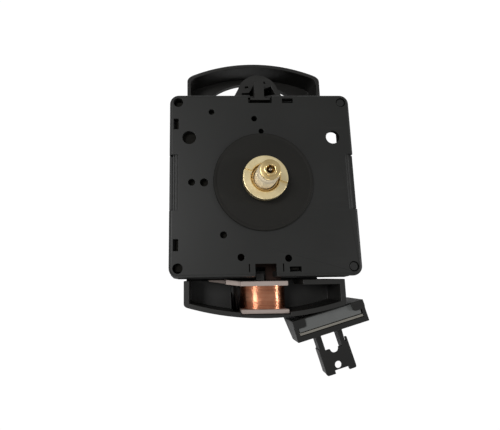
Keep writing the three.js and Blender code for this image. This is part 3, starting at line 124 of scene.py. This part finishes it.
class Finish:
    def __init__(self, name, **constants):
        self.material = bpy.data.materials.new(name)
        self.material.use_nodes = True
        self.tree = self.material.node_tree
        self.shader = self.tree.nodes["Principled BSDF"]
        for key, value in constants.items():
            self.shader.inputs[key.replace("_", " ")].default_value = value
        self.place = self.add("ShaderNodeTexCoord", output="Object")

    def add(self, kind, settings=None, inputs=None, output=0):
        node = self.tree.nodes.new(kind)
        for key, value in (settings or {}).items():
            if key == "stops":
                self.set_stops(node.color_ramp, value)
            else:
                setattr(node, key, value)
        for key, value in (inputs or {}).items():
            self.connect(node.inputs[key], value)
        return Link(self, node.outputs[output])

    def connect(self, socket, value):
        if isinstance(value, Link):
            self.tree.links.new(value.socket, socket)
        else:
            socket.default_value = value

    @staticmethod
    def set_stops(ramp, stops):
        for element, (position, level) in zip(ramp.elements, stops):
            element.position = position
            element.color = rgb(level, level, level)

    def feed(self, name, value):
        self.connect(self.shader.inputs[name], value)

    def colour(self, factor, dark, light):
        self.feed("Base Color", self.mix(factor, rgb(*dark), rgb(*light)))

    def covered(self, factor, cover):
        """Shows another shader in this one's place where the factor is 1."""
        own = Link(self, self.shader.outputs[0])
        surface = self.add("ShaderNodeMixShader", inputs={0: factor, 1: own, 2: cover})
        self.tree.links.new(surface.socket, self.tree.nodes["Material Output"].inputs["Surface"])

    def stretched(self, x, y, z):
        return self.add("ShaderNodeMapping", inputs={"Vector": self.place, "Scale": (x, y, z)})

    def noise(self, scale, detail=3, where=None):
        return self.add("ShaderNodeTexNoise", inputs={
            "Vector": where or self.place, "Scale": scale, "Detail": detail}, output="Fac")

    def bands(self, distance, scale, detail=2):
        return self.add("ShaderNodeTexNoise", {"noise_dimensions": "1D"}, {
            "W": distance, "Scale": scale, "Detail": detail}, output="Fac")

    def rise(self, value, low, high):
        """0 below the low value, 1 above the high one."""
        return self.add("ShaderNodeValToRGB", {"stops": [(low, 0.0), (high, 1.0)]}, {"Fac": value})

    def fall(self, value, low, high):
        """1 below the low value, 0 above the high one."""
        return self.add("ShaderNodeValToRGB", {"stops": [(low, 1.0), (high, 0.0)]}, {"Fac": value})

    def mix(self, factor, first, second):
        node = self.add("ShaderNodeMix", {"data_type": "RGBA"}, {0: factor}).socket.node
        self.connect(node.inputs[6], first)
        self.connect(node.inputs[7], second)
        return Link(self, node.outputs[2])

    def split(self):
        node = self.add("ShaderNodeSeparateXYZ", inputs={0: self.place}).socket.node
        return [Link(self, output) for output in node.outputs]

    def radius(self):
        """Distance from the hand shafts' axis."""
        x, y, _ = self.split()
        return (x * x + y * y) ** 0.5

    def bump(self, height, depth, strength=1.0):
        self.feed("Normal", self.add("ShaderNodeBump", inputs={
            "Height": height, "Distance": depth, "Strength": strength}, output="Normal"))


# Noise scales are turns per metre, and depths are metres. Cloud is a slow change over a surface.
MOULD_CLOUD = (55, 4)
MOULD_GRAIN = 5200
MOULD_DEPTH = 0.000012


def moulded(name, dark, light, rough, grain=MOULD_GRAIN, depth=MOULD_DEPTH, gloss=0.5):
    finish = Finish(name, IOR=1.52, Specular_IOR_Level=gloss)
    cloud = finish.noise(*MOULD_CLOUD)
    fine = finish.noise(grain, 2)
    scuff = finish.rise(finish.noise(1, 3, finish.stretched(70, 900, 90)), 0.6, 0.74)
    finish.colour(cloud * 0.7 + scuff * 0.2, dark, light)
    finish.feed("Roughness", rough - 0.09 + cloud * 0.16 + fine * 0.06 + scuff * 0.07)
    finish.bump(fine, depth, 0.5)
    return finish.material


def case_finish(name, dark, light, rough):
    """The rear case, whose inside behind the dial face is covered with a flat near-black as painted shade.
    """
    finish = Finish(name, IOR=1.52, Specular_IOR_Level=0.38)
    x, _, z = finish.split()
    cloud = finish.noise(*MOULD_CLOUD)
    fine = finish.noise(MOULD_GRAIN, 2)
    # Places on the case are brought between 0 and 1, as a ramp needs.
    height, aside = z * 40, abs(x) * 30
    past_seam = finish.rise(height, 0.54, 0.575)
    below_plate = finish.fall(height, 0.85, 0.865)
    within_walls = finish.fall(aside, 0.79, 0.8)
    finish.colour(cloud * 0.8, dark, light)
    finish.feed("Roughness", rough - 0.09 + cloud * 0.16 + fine * 0.06)
    finish.bump(fine, MOULD_DEPTH, 0.5)
    # Painted shade: a flat near-black with no shine stands in for the shade inside the case, between the
    # seam and the plate and within the walls.
    painted_inner_shade = finish.add("ShaderNodeBsdfDiffuse", inputs={"Color": rgb(0.014, 0.0135, 0.0118)})
    finish.covered(past_seam * below_plate * within_walls, painted_inner_shade)
    return finish.material


def turned_metal(name, dark, light, rough):
    scale, depth = 9000, 0.000006
    finish = Finish(name, Metallic=1.0)
    rings = finish.bands(finish.radius(), scale)
    cloud = finish.noise(420)
    finish.colour(rings * 0.35 + cloud * 0.65, dark, light)
    finish.feed("Roughness", rough - 0.06 + cloud * 0.12 + rings * 0.05)
    finish.bump(rings, depth, 0.6)
    return finish.material


def rolled_metal(name, dark, light, rough):
    finish = Finish(name, Metallic=1.0)
    lines = finish.noise(1, 3, finish.stretched(160, 5200, 5200))
    cloud = finish.noise(260)
    finish.colour(lines * 0.5 + cloud * 0.5, dark, light)
    finish.feed("Roughness", rough - 0.08 + lines * 0.12 + cloud * 0.06)
    finish.bump(lines, 0.000004, 0.5)
    return finish.material


def rubber_finish():
    finish = Finish("washer rubber", IOR=1.5, Specular_IOR_Level=0.21)
    rings = finish.bands(finish.radius(), 2600)
    cloud = finish.noise(140, 4)
    fine = finish.noise(7000, 2)
    finish.colour(cloud * 0.8 + rings * 0.2, (0.0045, 0.0043, 0.0034), (0.0105, 0.01, 0.0082))
    finish.feed("Roughness", 0.5 + cloud * 0.16 + rings * 0.06)
    finish.bump(fine * 0.7 + rings * 0.3, 0.000014, 0.5)
    return finish.material


def copper_finish(name, dark, light, rough):
    finish = Finish(name, Metallic=1.0, Coat_Roughness=0.12, Coat_IOR=1.5)
    _, y, _ = finish.split()
    turns = finish.bands(y, 4200, 1)
    cloud = finish.noise(520)
    finish.colour(turns * 0.6 + cloud * 0.4, dark, light)
    finish.feed("Roughness", rough + turns * 0.1 + cloud * 0.05)
    finish.feed("Coat Weight", 0.75 + cloud * 0.2)
    return finish.material


def ferrite_finish():
    finish = Finish("sintered magnet", IOR=1.6, Specular_IOR_Level=0.6)
    speckle = finish.noise(5200, 4)
    cloud = finish.noise(300)
    finish.colour(speckle * 0.5 + cloud * 0.5, (0.05, 0.053, 0.052), (0.1, 0.104, 0.1))
    finish.feed("Roughness", 0.42 + speckle * 0.16)
    finish.bump(speckle, 0.00001, 0.6)
    return finish.material


def board_finish():
    finish = Finish("brown laminate", IOR=1.5, Specular_IOR_Level=0.15)
    weave = finish.noise(1, 3, finish.stretched(900, 5200, 900))
    cloud = finish.noise(240)
    # Painted shade: the laminate's own brown is darkened far down, standing in for the shade in the bottom
    # notch where the board shows.
    finish.colour(weave * 0.5 + cloud * 0.5, (0.012, 0.006, 0.004), (0.03, 0.013, 0.008))
    finish.feed("Roughness", 0.42 + weave * 0.2)
    finish.bump(weave, 0.00001, 0.5)
    return finish.material


FINISHES = {
    "black_plastic": moulded(
        "satin black moulding", (0.0046, 0.0048, 0.0042), (0.0098, 0.0102, 0.009), 0.47, gloss=0.36),
    "rubber": rubber_finish(),
    "brass": turned_metal("turned brass", (0.79, 0.62, 0.32), (0.98, 0.86, 0.55), 0.36),
    "cream_plastic": moulded(
        "cream nylon", (0.82, 0.68, 0.46), (0.95, 0.84, 0.62), 0.42, 3000, 0.000008),
    "white_plastic": moulded(
        "natural nylon", (0.29, 0.235, 0.21), (0.42, 0.345, 0.31), 0.5, 3800, 0.00001),
    "steel": rolled_metal("bright steel", (0.4, 0.4, 0.39), (0.62, 0.61, 0.58), 0.34),
    "ferrite": ferrite_finish(),
    "copper": copper_finish("enamelled copper", (0.44, 0.14, 0.07), (0.84, 0.39, 0.21), 0.13),
    "board": board_finish(),
    "epoxy": moulded(
        "black potting", (0.008, 0.008, 0.009), (0.014, 0.014, 0.015), 0.3, 900, 0.00003),
}
CASE_BLACK = case_finish(
    "satin black case moulding", (0.0042, 0.0044, 0.0041), (0.0092, 0.0095, 0.0088), 0.44)
FRAME_BLACK = moulded(
    "satin black frame moulding", (0.0078, 0.0075, 0.0067), (0.0125, 0.012, 0.0108), 0.42, 4200, 0.000016,
    0.35)
HOOK_BLACK = moulded(
    "satin black pendulum moulding", (0.0034, 0.0034, 0.0029), (0.0072, 0.0071, 0.0062), 0.4, 4800,
    0.000014, 0.34)
SHAFT_BRASS = turned_metal("golden brass", (0.56, 0.4, 0.17), (0.84, 0.66, 0.34), 0.3)
YOKE_STEEL = rolled_metal("plated steel strip", (0.24, 0.225, 0.195), (0.38, 0.365, 0.32), 0.4)
# Painted shade: the seconds pin's metal is a dark brown, standing in for the shade inside the minute
# shaft's mouth where the pin sits.
PIN_METAL_PAINTED_SHADE = rolled_metal("seconds pin metal with painted shade", (0.2, 0.17, 0.13), (0.42, 0.36, 0.28), 0.25)

for part in frame["record"]["subparts"]:
    node = frame["nodes"][part["node"]]
    node.data.materials.clear()
    node.data.materials.append(FINISHES[part["material_slot"]])


# Workshop: pieces are started, shaped and fitted with these
def take(piece):
    if bpy.context.mode != "OBJECT":
        bpy.ops.object.mode_set(mode="OBJECT")
    bpy.ops.object.select_all(action="DESELECT")
    if piece:
        piece.select_set(True)
        bpy.context.view_layer.objects.active = piece


def settled(piece):
    """Puts the piece's place, turn and size into its mesh."""
    bpy.ops.object.transform_apply(location=True, rotation=True, scale=True)
    return piece


def started(name):
    piece = bpy.context.object
    piece.name = piece.data.name = name
    return settled(piece)


def cuboid(name, *spans):
    """A block from its low and high ends along X, Y and Z."""
    take(None)
    middle = [(low + high) / 2 for low, high in spans]
    bpy.ops.mesh.primitive_cube_add(size=1, location=middle, scale=[high - low for low, high in spans])
    return started(name)


def drum(name, radius, z, place=(0, 0), sides=48):
    take(None)
    low, high = z
    bpy.ops.mesh.primitive_cylinder_add(
        vertices=sides, radius=radius, depth=high - low, location=(*place, (low + high) / 2))
    return started(name)


def chain(name, points):
    """A chain of edges through the points, left in edit mode with all of it selected."""
    take(None)
    bpy.ops.mesh.primitive_plane_add(size=1)
    piece = started(name)
    bpy.ops.object.mode_set(mode="EDIT")
    bpy.ops.mesh.select_mode(type="VERT")
    bpy.ops.mesh.select_all(action="SELECT")
    bpy.ops.mesh.merge(type="CENTER")
    bpy.ops.transform.translate(value=points[0])
    for before, after in zip(points, points[1:]):
        bpy.ops.mesh.extrude_region_move(
            TRANSFORM_OT_translate={"value": [b - a for a, b in zip(before, after)]})
    bpy.ops.mesh.select_all(action="SELECT")
    return piece


def closed(piece):
    """Welds doubles and turns the faces outwards."""
    if bpy.context.mode != "EDIT_MESH":
        take(piece)
        bpy.ops.object.mode_set(mode="EDIT")
    bpy.ops.mesh.select_all(action="SELECT")
    bpy.ops.mesh.remove_doubles(threshold=WELD)
    bpy.ops.mesh.normals_make_consistent(inside=False)
    bpy.ops.object.mode_set(mode="OBJECT")
    return piece


def drawn_out(piece, way):
    """Fills the outline that chain left in edit mode, and draws it out into a solid."""
    bpy.ops.mesh.edge_face_add()
    bpy.ops.mesh.extrude_region_move(TRANSFORM_OT_translate={"value": way})
    return closed(piece)


def prism(name, outline, z):
    """An outline of (x, y) points, drawn out along Z."""
    low, high = z
    return drawn_out(chain(name, [(x, y, low) for x, y in outline]), (0, 0, high - low))


def prism_along_y(name, outline, y):
    """An outline of (x, z) points, drawn out along Y."""
    low, high = y
    return drawn_out(chain(name, [(x, low, z) for x, z in outline]), (0, high - low, 0))


def turned(name, profile, sides=96):
    """A profile of (radius, z) points, spun round the hand shafts' axis. A hollow one is closed first."""
    points = [(radius, 0, z) for radius, z in profile]
    hollow = min(radius for radius, _ in profile) > 0
    piece = chain(name, [*points, points[0]] if hollow else points)
    bpy.ops.mesh.spin(steps=sides, angle=TURN, center=(0, 0, 0), axis=(0, 0, 1))
    return closed(piece)


def arc(centre, radius, start, end, steps):
    angles = [math.radians(start + (end - start) * i / steps) for i in range(steps + 1)]
    return [(centre[0] + radius * math.cos(a), centre[1] + radius * math.sin(a)) for a in angles]


def rounded(x, y, radius, steps=8):
    """The outline of a rectangle with round corners."""
    corners = [(x[1], y[1], 0), (x[0], y[1], 90), (x[0], y[0], 180), (x[1], y[0], 270)]
    points = []
    for cx, cy, start in corners:
        inward_x = math.copysign(radius, cx - sum(x) / 2)
        inward_y = math.copysign(radius, cy - sum(y) / 2)
        points += arc((cx - inward_x, cy - inward_y), radius, start, start + 90, steps)
    return points


def modified(piece, kind, **settings):
    take(piece)
    modifier = piece.modifiers.new(kind.lower(), kind)
    for key, value in settings.items():
        setattr(modifier, key, value)
    bpy.ops.object.modifier_apply(modifier=modifier.name)
    return piece


def combine(piece, tools, operation):
    for tool in tools:
        modified(piece, "BOOLEAN", object=tool, operation=operation, solver="MANIFOLD")
        bpy.data.objects.remove(tool)
    return piece


def carved(piece, *tools):
    return combine(piece, tools, "DIFFERENCE")


def united(piece, *tools):
    return combine(piece, tools, "UNION")


def eased(piece, width, segments=2):
    """Flats are made one face each, and then every sharp edge is rounded a little."""
    take(piece)
    bpy.ops.object.mode_set(mode="EDIT")
    bpy.ops.mesh.select_all(action="SELECT")
    bpy.ops.mesh.remove_doubles(threshold=WELD_CUT)
    bpy.ops.mesh.dissolve_limited(angle_limit=FLAT)
    bpy.ops.object.mode_set(mode="OBJECT")
    return modified(piece, "BEVEL", width=width, segments=segments, limit_method="ANGLE",
                    angle_limit=SHARP, use_clamp_overlap=False)


def rim_rounded(piece, z, width, segments):
    """Rounds the rim of the flat at height z."""
    near = 1e-4
    take(piece)
    bpy.ops.object.mode_set(mode="EDIT")
    bpy.ops.mesh.select_mode(type="EDGE")
    bpy.ops.mesh.select_all(action="DESELECT")
    mesh = bmesh.from_edit_mesh(piece.data)
    for edge in mesh.edges:
        edge.select_set(all(abs(vertex.co.z - z) < near for vertex in edge.verts))
    bmesh.update_edit_mesh(piece.data)
    bpy.ops.mesh.bevel(offset=width, segments=segments, affect="EDGES", clamp_overlap=True)
    bpy.ops.object.mode_set(mode="OBJECT")
    return piece


def cut_above(piece, z):
    """Takes off what lies above the height z, and fills the cut."""
    take(piece)
    bpy.ops.object.mode_set(mode="EDIT")
    bpy.ops.mesh.select_all(action="SELECT")
    bpy.ops.mesh.bisect(plane_co=(0, 0, z), plane_no=(0, 0, 1), clear_outer=True, use_fill=True)
    return closed(piece)


def swung(piece, angle):
    """Turns a piece about the hand shafts' axis."""
    take(piece)
    piece.rotation_euler[2] = angle
    return settled(piece)


def from_node(name, node):
    """A welded copy of a CAD node, in millimetres, to be shaped further."""
    piece = bpy.data.objects.new(name, frame["nodes"][node].data.copy())
    bpy.context.scene.collection.objects.link(piece)
    take(piece)
    piece.data.name = name
    piece.scale = (1 / MM,) * 3
    return closed(settled(piece))


def fitted(piece, body, slot, *nodes, finish=None, smooth=32):
    """Brings a piece to metres, smooths and paints it, and puts it on its body in the nodes' place."""
    take(piece)
    piece.scale = (MM,) * 3
    settled(piece)
    bpy.ops.object.shade_smooth_by_angle(angle=math.radians(smooth))
    modified(piece, "WEIGHTED_NORMAL", mode="FACE_AREA", weight=80, keep_sharp=True)
    piece.data.materials.clear()
    piece.data.materials.append(finish or FINISHES[slot])
    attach(piece, body)
    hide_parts(*nodes)
    return piece


def hung(piece):
    """Brings a piece drawn hanging straight down from the pivot to the pendulum's lean."""
    take(piece)
    piece.matrix_world = Matrix.Translation((*PIVOT, 0)) @ Matrix.Rotation(LEAN, 4, "Z")
    return settled(piece)


# Front cover: round holes as x, y and radius, square ones as their spans along X and Y
HOLES = [
    (-15.13, 22.19, 0.9), (-2.0, 20.0, 0.9), (-21.3, -0.11, 1.02), (-17.6, -0.19, 1.2),
    (-12.1, -15.9, 1.02), (-7.2, -22.4, 1.02), (6.49, -22.8, 1.02), (0, 15.9, 0.8),
]
MOUNT_HOLES = [(-22, 13.9), (22, 13.9)]
CORNER_HOLES = [(sx * 25.35, sy * 25.35) for sx in (-1, 1) for sy in (-1, 1)]
WINDOWS = [
    ((-26.7, -25.2), (16.6, 20.0)), ((-26.7, -25.2), (-20.4, -17.0)), ((6.9, 10.3), (25.2, 26.7)),
    ((6.7, 10.1), (-26.7, -25.2)),
]
SLITS = [((x - 0.17, x + 0.17), (-26.6, -24.3)) for x in (-4.9, 4.9)]
# Steps of a side recess, as the distance from the case's middle and the drop below the dial face
RECESS_STEPS = [(25.4, 0), (25.75, -0.35), (26.2, -0.35), (26.6, -0.75), (26.95, -0.75)]
RECESS_HALF_LENGTH = 8.5


def make_front_cover():
    outer_round, inner_round, rim_round = 2.8, 1.2, 1.0
    bush_hole, mount_hole, corner_hole = 4.1, 2.05, 1.45
    outside, notch_floor, slot_top = CASE + 0.6, 18.9, 15.2
    plate = (PLATE_BACK - CLEAR, DIAL + CLEAR)
    depth = (SEAM - CLEAR, DIAL + CLEAR)
    cover = prism("front_cover_shell", rounded((-CASE, CASE), (-CASE, CASE), outer_round), (SEAM, DIAL))
    rim_rounded(cover, DIAL, rim_round, 5)
    inside = rounded((-COVER_INSIDE, COVER_INSIDE), (-COVER_INSIDE, COVER_INSIDE), inner_round, 4)
    tools = [prism("inside", inside, (SEAM - CLEAR, PLATE_BACK)), drum("bush_hole", bush_hole, plate)]
    tools += [drum("hole", radius, plate, (x, y), 32) for x, y, radius in HOLES]
    tools += [drum("mount_hole", mount_hole, plate, place) for place in MOUNT_HOLES]
    tools += [drum("corner_hole", corner_hole, depth, place, 40) for place in CORNER_HOLES]
    tools += [cuboid("window", x, y, plate) for x, y in WINDOWS]
    bottom = SEAM - DIAL - CLEAR
    steps = [(25.4, CLEAR), *RECESS_STEPS, (26.95, bottom), (outside, bottom), (outside, CLEAR)]
    for side in (-1, 1):
        outline = [(side * x, DIAL + z) for x, z in steps]
        tools.append(prism_along_y("side_recess", outline, (-RECESS_HALF_LENGTH, RECESS_HALF_LENGTH)))
    tools.append(cuboid("top_notch", (-3.7, 3.7), (25.2, outside), (notch_floor, DIAL + CLEAR)))
    tools.append(cuboid("bottom_notch", (-3.2, 2.9), (-outside, -24.3), depth))
    tools.append(cuboid("board_slot", (0.6, 5.9), (-outside, -25.9), (SEAM - CLEAR, slot_top)))
    carved(cover, *tools)
    eased(cover, 0.1)
    carved(cover, *[cuboid("slit", x, y, plate) for x, y in SLITS])
    return fitted(cover, "movement", "black_plastic", "front_cover")


make_front_cover()


# Rear case
def make_rear_case():
    case = from_node("rear_case_shell", "rear_case")
    eased(case, 0.12)
    return fitted(case, "movement", "black_plastic", "rear_case", finish=CASE_BLACK)


make_rear_case()


# Washer, bush and nut
def make_washer():
    hole, rim, top = 4.25, 14.9, DIAL + 1.0
    profile = [
        (hole, DIAL), (14.7, DIAL), (rim, DIAL + 0.2), (rim, top - 0.34), (14.82, top - 0.14), (14.62, top),
        (14.1, top), (13.95, top - 0.05), (13.7, top - 0.06), (4.5, top - 0.06), (hole, top - 0.2)]
    return fitted(turned("rubber_washer_ring", profile, 128), "movement", "rubber", "rubber_washer")


make_washer()


def thread(radius, low, high, pitch, depth):
    """Ridges of a thread up the outside of a barrel."""
    root = radius - depth
    points = []
    for i in range(round((high - low) / pitch)):
        z = low + i * pitch
        points += [
            (root, z), (root, z + pitch * 0.15), (radius, z + pitch * 0.5), (radius, z + pitch * 0.65)]
    return [*points, (root, high)]


def make_bush():
    bore, barrel, flange = 3.4, 3.98, 5.2
    low, flange_top, barrel_top, top = 19.7, 20.9, 23.3, 26.4
    pitch, depth = 0.7, 0.3
    profile = [
        (bore, low), (flange, low), (flange, flange_top), (barrel, flange_top), (barrel, barrel_top),
        *thread(3.99, barrel_top + 0.1, top - 0.2, pitch, depth),
        (3.7, top), (3.55, top), (bore, top - 0.15)]
    bush = turned("threaded_bush", profile)
    return fitted(bush, "movement", "brass", "centre_bush", finish=SHAFT_BRASS, smooth=40)


make_bush()


def make_nut():
    hole, rim, low, top = 4.15, 6.5, 25.0, 27.4
    slot_half, slot_depth, slot_turn = 0.6, 0.8, math.radians(160)
    profile = [
        (hole, low), (6.25, low), (rim, low + 0.25), (rim, top - 0.22), (6.44, top - 0.07), (6.28, top),
        (4.55, top), (4.3, top - 0.12), (hole, top - 0.35)]
    nut = turned("dial_nut", profile, 128)
    slot = cuboid("slot", (-8, 8), (-slot_half, slot_half), (top - slot_depth, top + 1))
    carved(nut, swung(slot, slot_turn))
    eased(nut, 0.06)
    return fitted(nut, "movement", "brass", "bush_nut")


make_nut()


# Hand shafts
def make_hour_tube():
    count, floor, half_width, length = 30, 2.42, 0.12, 1.5
    top = DIAL + 11.8
    tube = from_node("hour_hand_tube", "hour_wheel")
    notches = []
    for i in range(count):
        notch = cuboid("notch", (floor, 3.0), (-half_width, half_width), (top - length, top + 0.2))
        notches.append(swung(notch, TURN * i / count))
    carved(tube, *notches)
    return fitted(tube, "hour_hand_drive", "cream_plastic", "hour_wheel", smooth=24)


make_hour_tube()


def make_minute_shaft():
    bore, shank = 0.7, 1.9
    collar, top = DIAL + 12, DIAL + 13
    root = collar - 1.8
    shaft = cut_above(from_node("minute_hand_shaft", "minute_arbor"), collar - 1.6)
    profile = [
        (bore, root), (shank, root), (shank, collar), (2.7, collar), (2.84, collar + 0.06),
        (2.89, collar + 0.17), (2.84, collar + 0.28), (2.66, collar + 0.35), (2.2, collar + 0.37),
        (1.72, collar + 0.42), (1.6, top - 0.46), (1.66, top - 0.44), (1.79, top - 0.38),
        (1.83, top - 0.28), (1.8, top - 0.14), (1.68, top - 0.04), (1.45, top), (1.28, top - 0.03),
        (1.14, top - 0.14), (1.08, top - 0.35), (1.06, top - 1.6), (bore, top - 1.7)]
    united(shaft, turned("shaft_end", profile))
    return fitted(shaft, "minute_hand_drive", "brass", "minute_arbor", finish=SHAFT_BRASS, smooth=40)


make_minute_shaft()


def make_seconds_shaft():
    radius, top = 0.5, DIAL + 12.7
    root = top - 3.2
    pin = cut_above(from_node("seconds_hand_pin", "seconds_arbor"), top - 3)
    profile = [
        (0, root), (radius, root), (radius, top - 0.4), (0.47, top - 0.22), (0.36, top - 0.08),
        (0.2, top - 0.01), (0, top)]
    united(pin, turned("pin_end", profile, 40))
    return fitted(pin, "seconds_hand_drive", "brass", "seconds_arbor", finish=PIN_METAL_PAINTED_SHADE)


make_seconds_shaft()


# Frame with its loop, bracket and tray
def make_frame():
    dots = (18.0, 19.6)
    moulding = from_node("frame_moulding", "pendulum_frame")
    round_dot = drum("round_dot", 0.5, dots, (2.14, 33.85), 32)
    oval_dot = prism("oval_dot", rounded((-4.15, -2.85), (31.9, 32.7), 0.39), dots)
    carved(moulding, round_dot, oval_dot)
    eased(moulding, 0.14)
    return fitted(moulding, "movement", "black_plastic", "pendulum_frame", finish=FRAME_BLACK)


make_frame()


# Drive coil
def coil_loop(half_x, half_z, angle):
    """A point of one turn, which is a little squarer than an ellipse."""
    middle, bulge = 12.15, 2 / 2.1
    c, s = math.cos(angle), math.sin(angle)
    x = math.copysign(abs(c) ** bulge, c) * half_x
    z = middle + math.copysign(abs(s) ** bulge, s) * half_z
    return (x, z)


def make_bobbin():
    bobbin = from_node("coil_former", "coil_bobbin")
    eased(bobbin, 0.22, 3)
    return fitted(bobbin, "movement", "white_plastic", "coil_bobbin")


make_bobbin()


def make_winding():
    """Fine wire in close turns, each a little out of line with the next."""
    turns, steps, thickness = 32, 40, 0.2
    half_x, half_z = 6.86, 5.0
    top, bottom = -30.74, -37.28
    curve = bpy.data.curves.new("wound_wire", "CURVE")
    curve.dimensions = "3D"
    curve.bevel_depth = thickness / 2
    curve.bevel_resolution = 1
    curve.use_fill_caps = True
    line = curve.splines.new("POLY")
    total = turns * steps
    line.points.add(total)
    for i in range(total + 1):
        turn = i / steps
        swell = 0.035 * math.sin(turn * 2.3) + 0.03 * math.sin(turn * 5.1 + 1)
        sag = 0.03 * math.sin(turn * 3.7 + 2)
        x, z = coil_loop(half_x + swell, half_z + swell, TURN * turn - TURN / 4)
        line.points[i].co = (x, top + (bottom - top) * i / total + sag, z, 1)
    wire = bpy.data.objects.new("wound_wire", curve)
    bpy.context.scene.collection.objects.link(wire)
    take(wire)
    bpy.ops.object.convert(target="MESH")
    return fitted(closed(wire), "movement", "copper", "coil_winding", smooth=60)


make_winding()


def make_winding_body():
    sides, half_x, half_z = 72, 6.76, 4.92
    outline = [coil_loop(half_x, half_z, TURN * i / sides) for i in range(sides)]
    body = prism_along_y("winding_body", outline, (-37.35, -30.65))
    sleeve = cuboid("sleeve", (-3.5, 3.5), (-38, -30), (8.95, 15.35))
    carved(body, sleeve)
    return fitted(body, "movement", "copper", "coil_core")


make_winding_body()


# Pendulum
def make_holder():
    holder = from_node("pendulum_arm_moulding", "pendulum_arm")
    eased(holder, 0.16)
    return fitted(holder, "pendulum", "black_plastic", "pendulum_arm", finish=HOOK_BLACK)


make_holder()


def make_rod_hook():
    hook = from_node("rod_hook_moulding", "rod_hook")
    eased(hook, 0.14)
    return fitted(hook, "pendulum", "black_plastic", "rod_hook", finish=HOOK_BLACK)


make_rod_hook()


# The magnet and the yoke are drawn on a pendulum that hangs straight down.
def make_magnet():
    magnet = cuboid("bar_magnet", (-10, 10), (-74.78, -71.18), (9.6, 14.2))
    eased(magnet, 0.25, 3)
    return fitted(hung(magnet), "pendulum", "ferrite", "pendulum_magnet")


make_magnet()


def make_yoke():
    strip = cuboid("yoke_strip", (-10.1, 10.1), (-75.58, -74.88), (9.6, 14.35))
    eased(strip, 0.08)
    return fitted(hung(strip), "pendulum", "steel", "yoke_plate", finish=YOKE_STEEL)


make_yoke()


# Studio: a pale floor, soft lamps and a white surround
def make_floor():
    take(None)
    width, drop = 6, 0.0001
    bpy.ops.mesh.primitive_plane_add(size=width, location=(0, 0, -drop))
    floor = started("floor")
    finish = Finish("studio floor", Roughness=0.9)
    finish.feed("Base Color", rgb(0.8, 0.8, 0.8))
    ray = finish.add("ShaderNodeLightPath", output="Is Camera Ray")
    glow = finish.add("ShaderNodeEmission", inputs={"Color": rgb(1, 1, 1), "Strength": SEEN_WHITE})
    finish.covered(ray, glow)
    floor.data.materials.append(finish.material)


make_floor()


def lamp(name, place, size, power):
    """A square lamp, in metres and watts, aimed at the origin."""
    light = bpy.data.lights.new(name, "AREA")
    light.shape = "SQUARE"
    light.size = size
    light.energy = power
    stand = bpy.data.objects.new(name, light)
    bpy.context.scene.collection.objects.link(stand)
    stand.location = place
    stand.rotation_euler = (-Vector(place)).to_track_quat("-Z", "Y").to_euler()


lamp("key_lamp", (-0.23, 0.06, 0.45), 0.13, 1.15)
lamp("fill_lamp", (0.42, -0.03, 0.26), 0.1, 0.6)
lamp("front_lamp", (-0.12, -0.46, 0.24), 0.2, 0.5)


def make_surround():
    """White to the camera, and dimmer as light on the part."""
    light_strength = 0.42
    world = bpy.data.worlds.new("surround")
    bpy.context.scene.world = world
    world.use_nodes = True
    tree = world.node_tree
    sky = tree.nodes["Background"]
    ray = tree.nodes.new("ShaderNodeLightPath")
    level = tree.nodes.new("ShaderNodeMapRange")
    level.inputs["To Min"].default_value = light_strength
    level.inputs["To Max"].default_value = SEEN_WHITE
    tree.links.new(ray.outputs["Is Camera Ray"], level.inputs["Value"])
    tree.links.new(level.outputs["Result"], sky.inputs["Strength"])
    sky.inputs["Color"].default_value = rgb(1, 1, 1)


make_surround()
bpy.context.scene.view_settings.view_transform = "Standard"
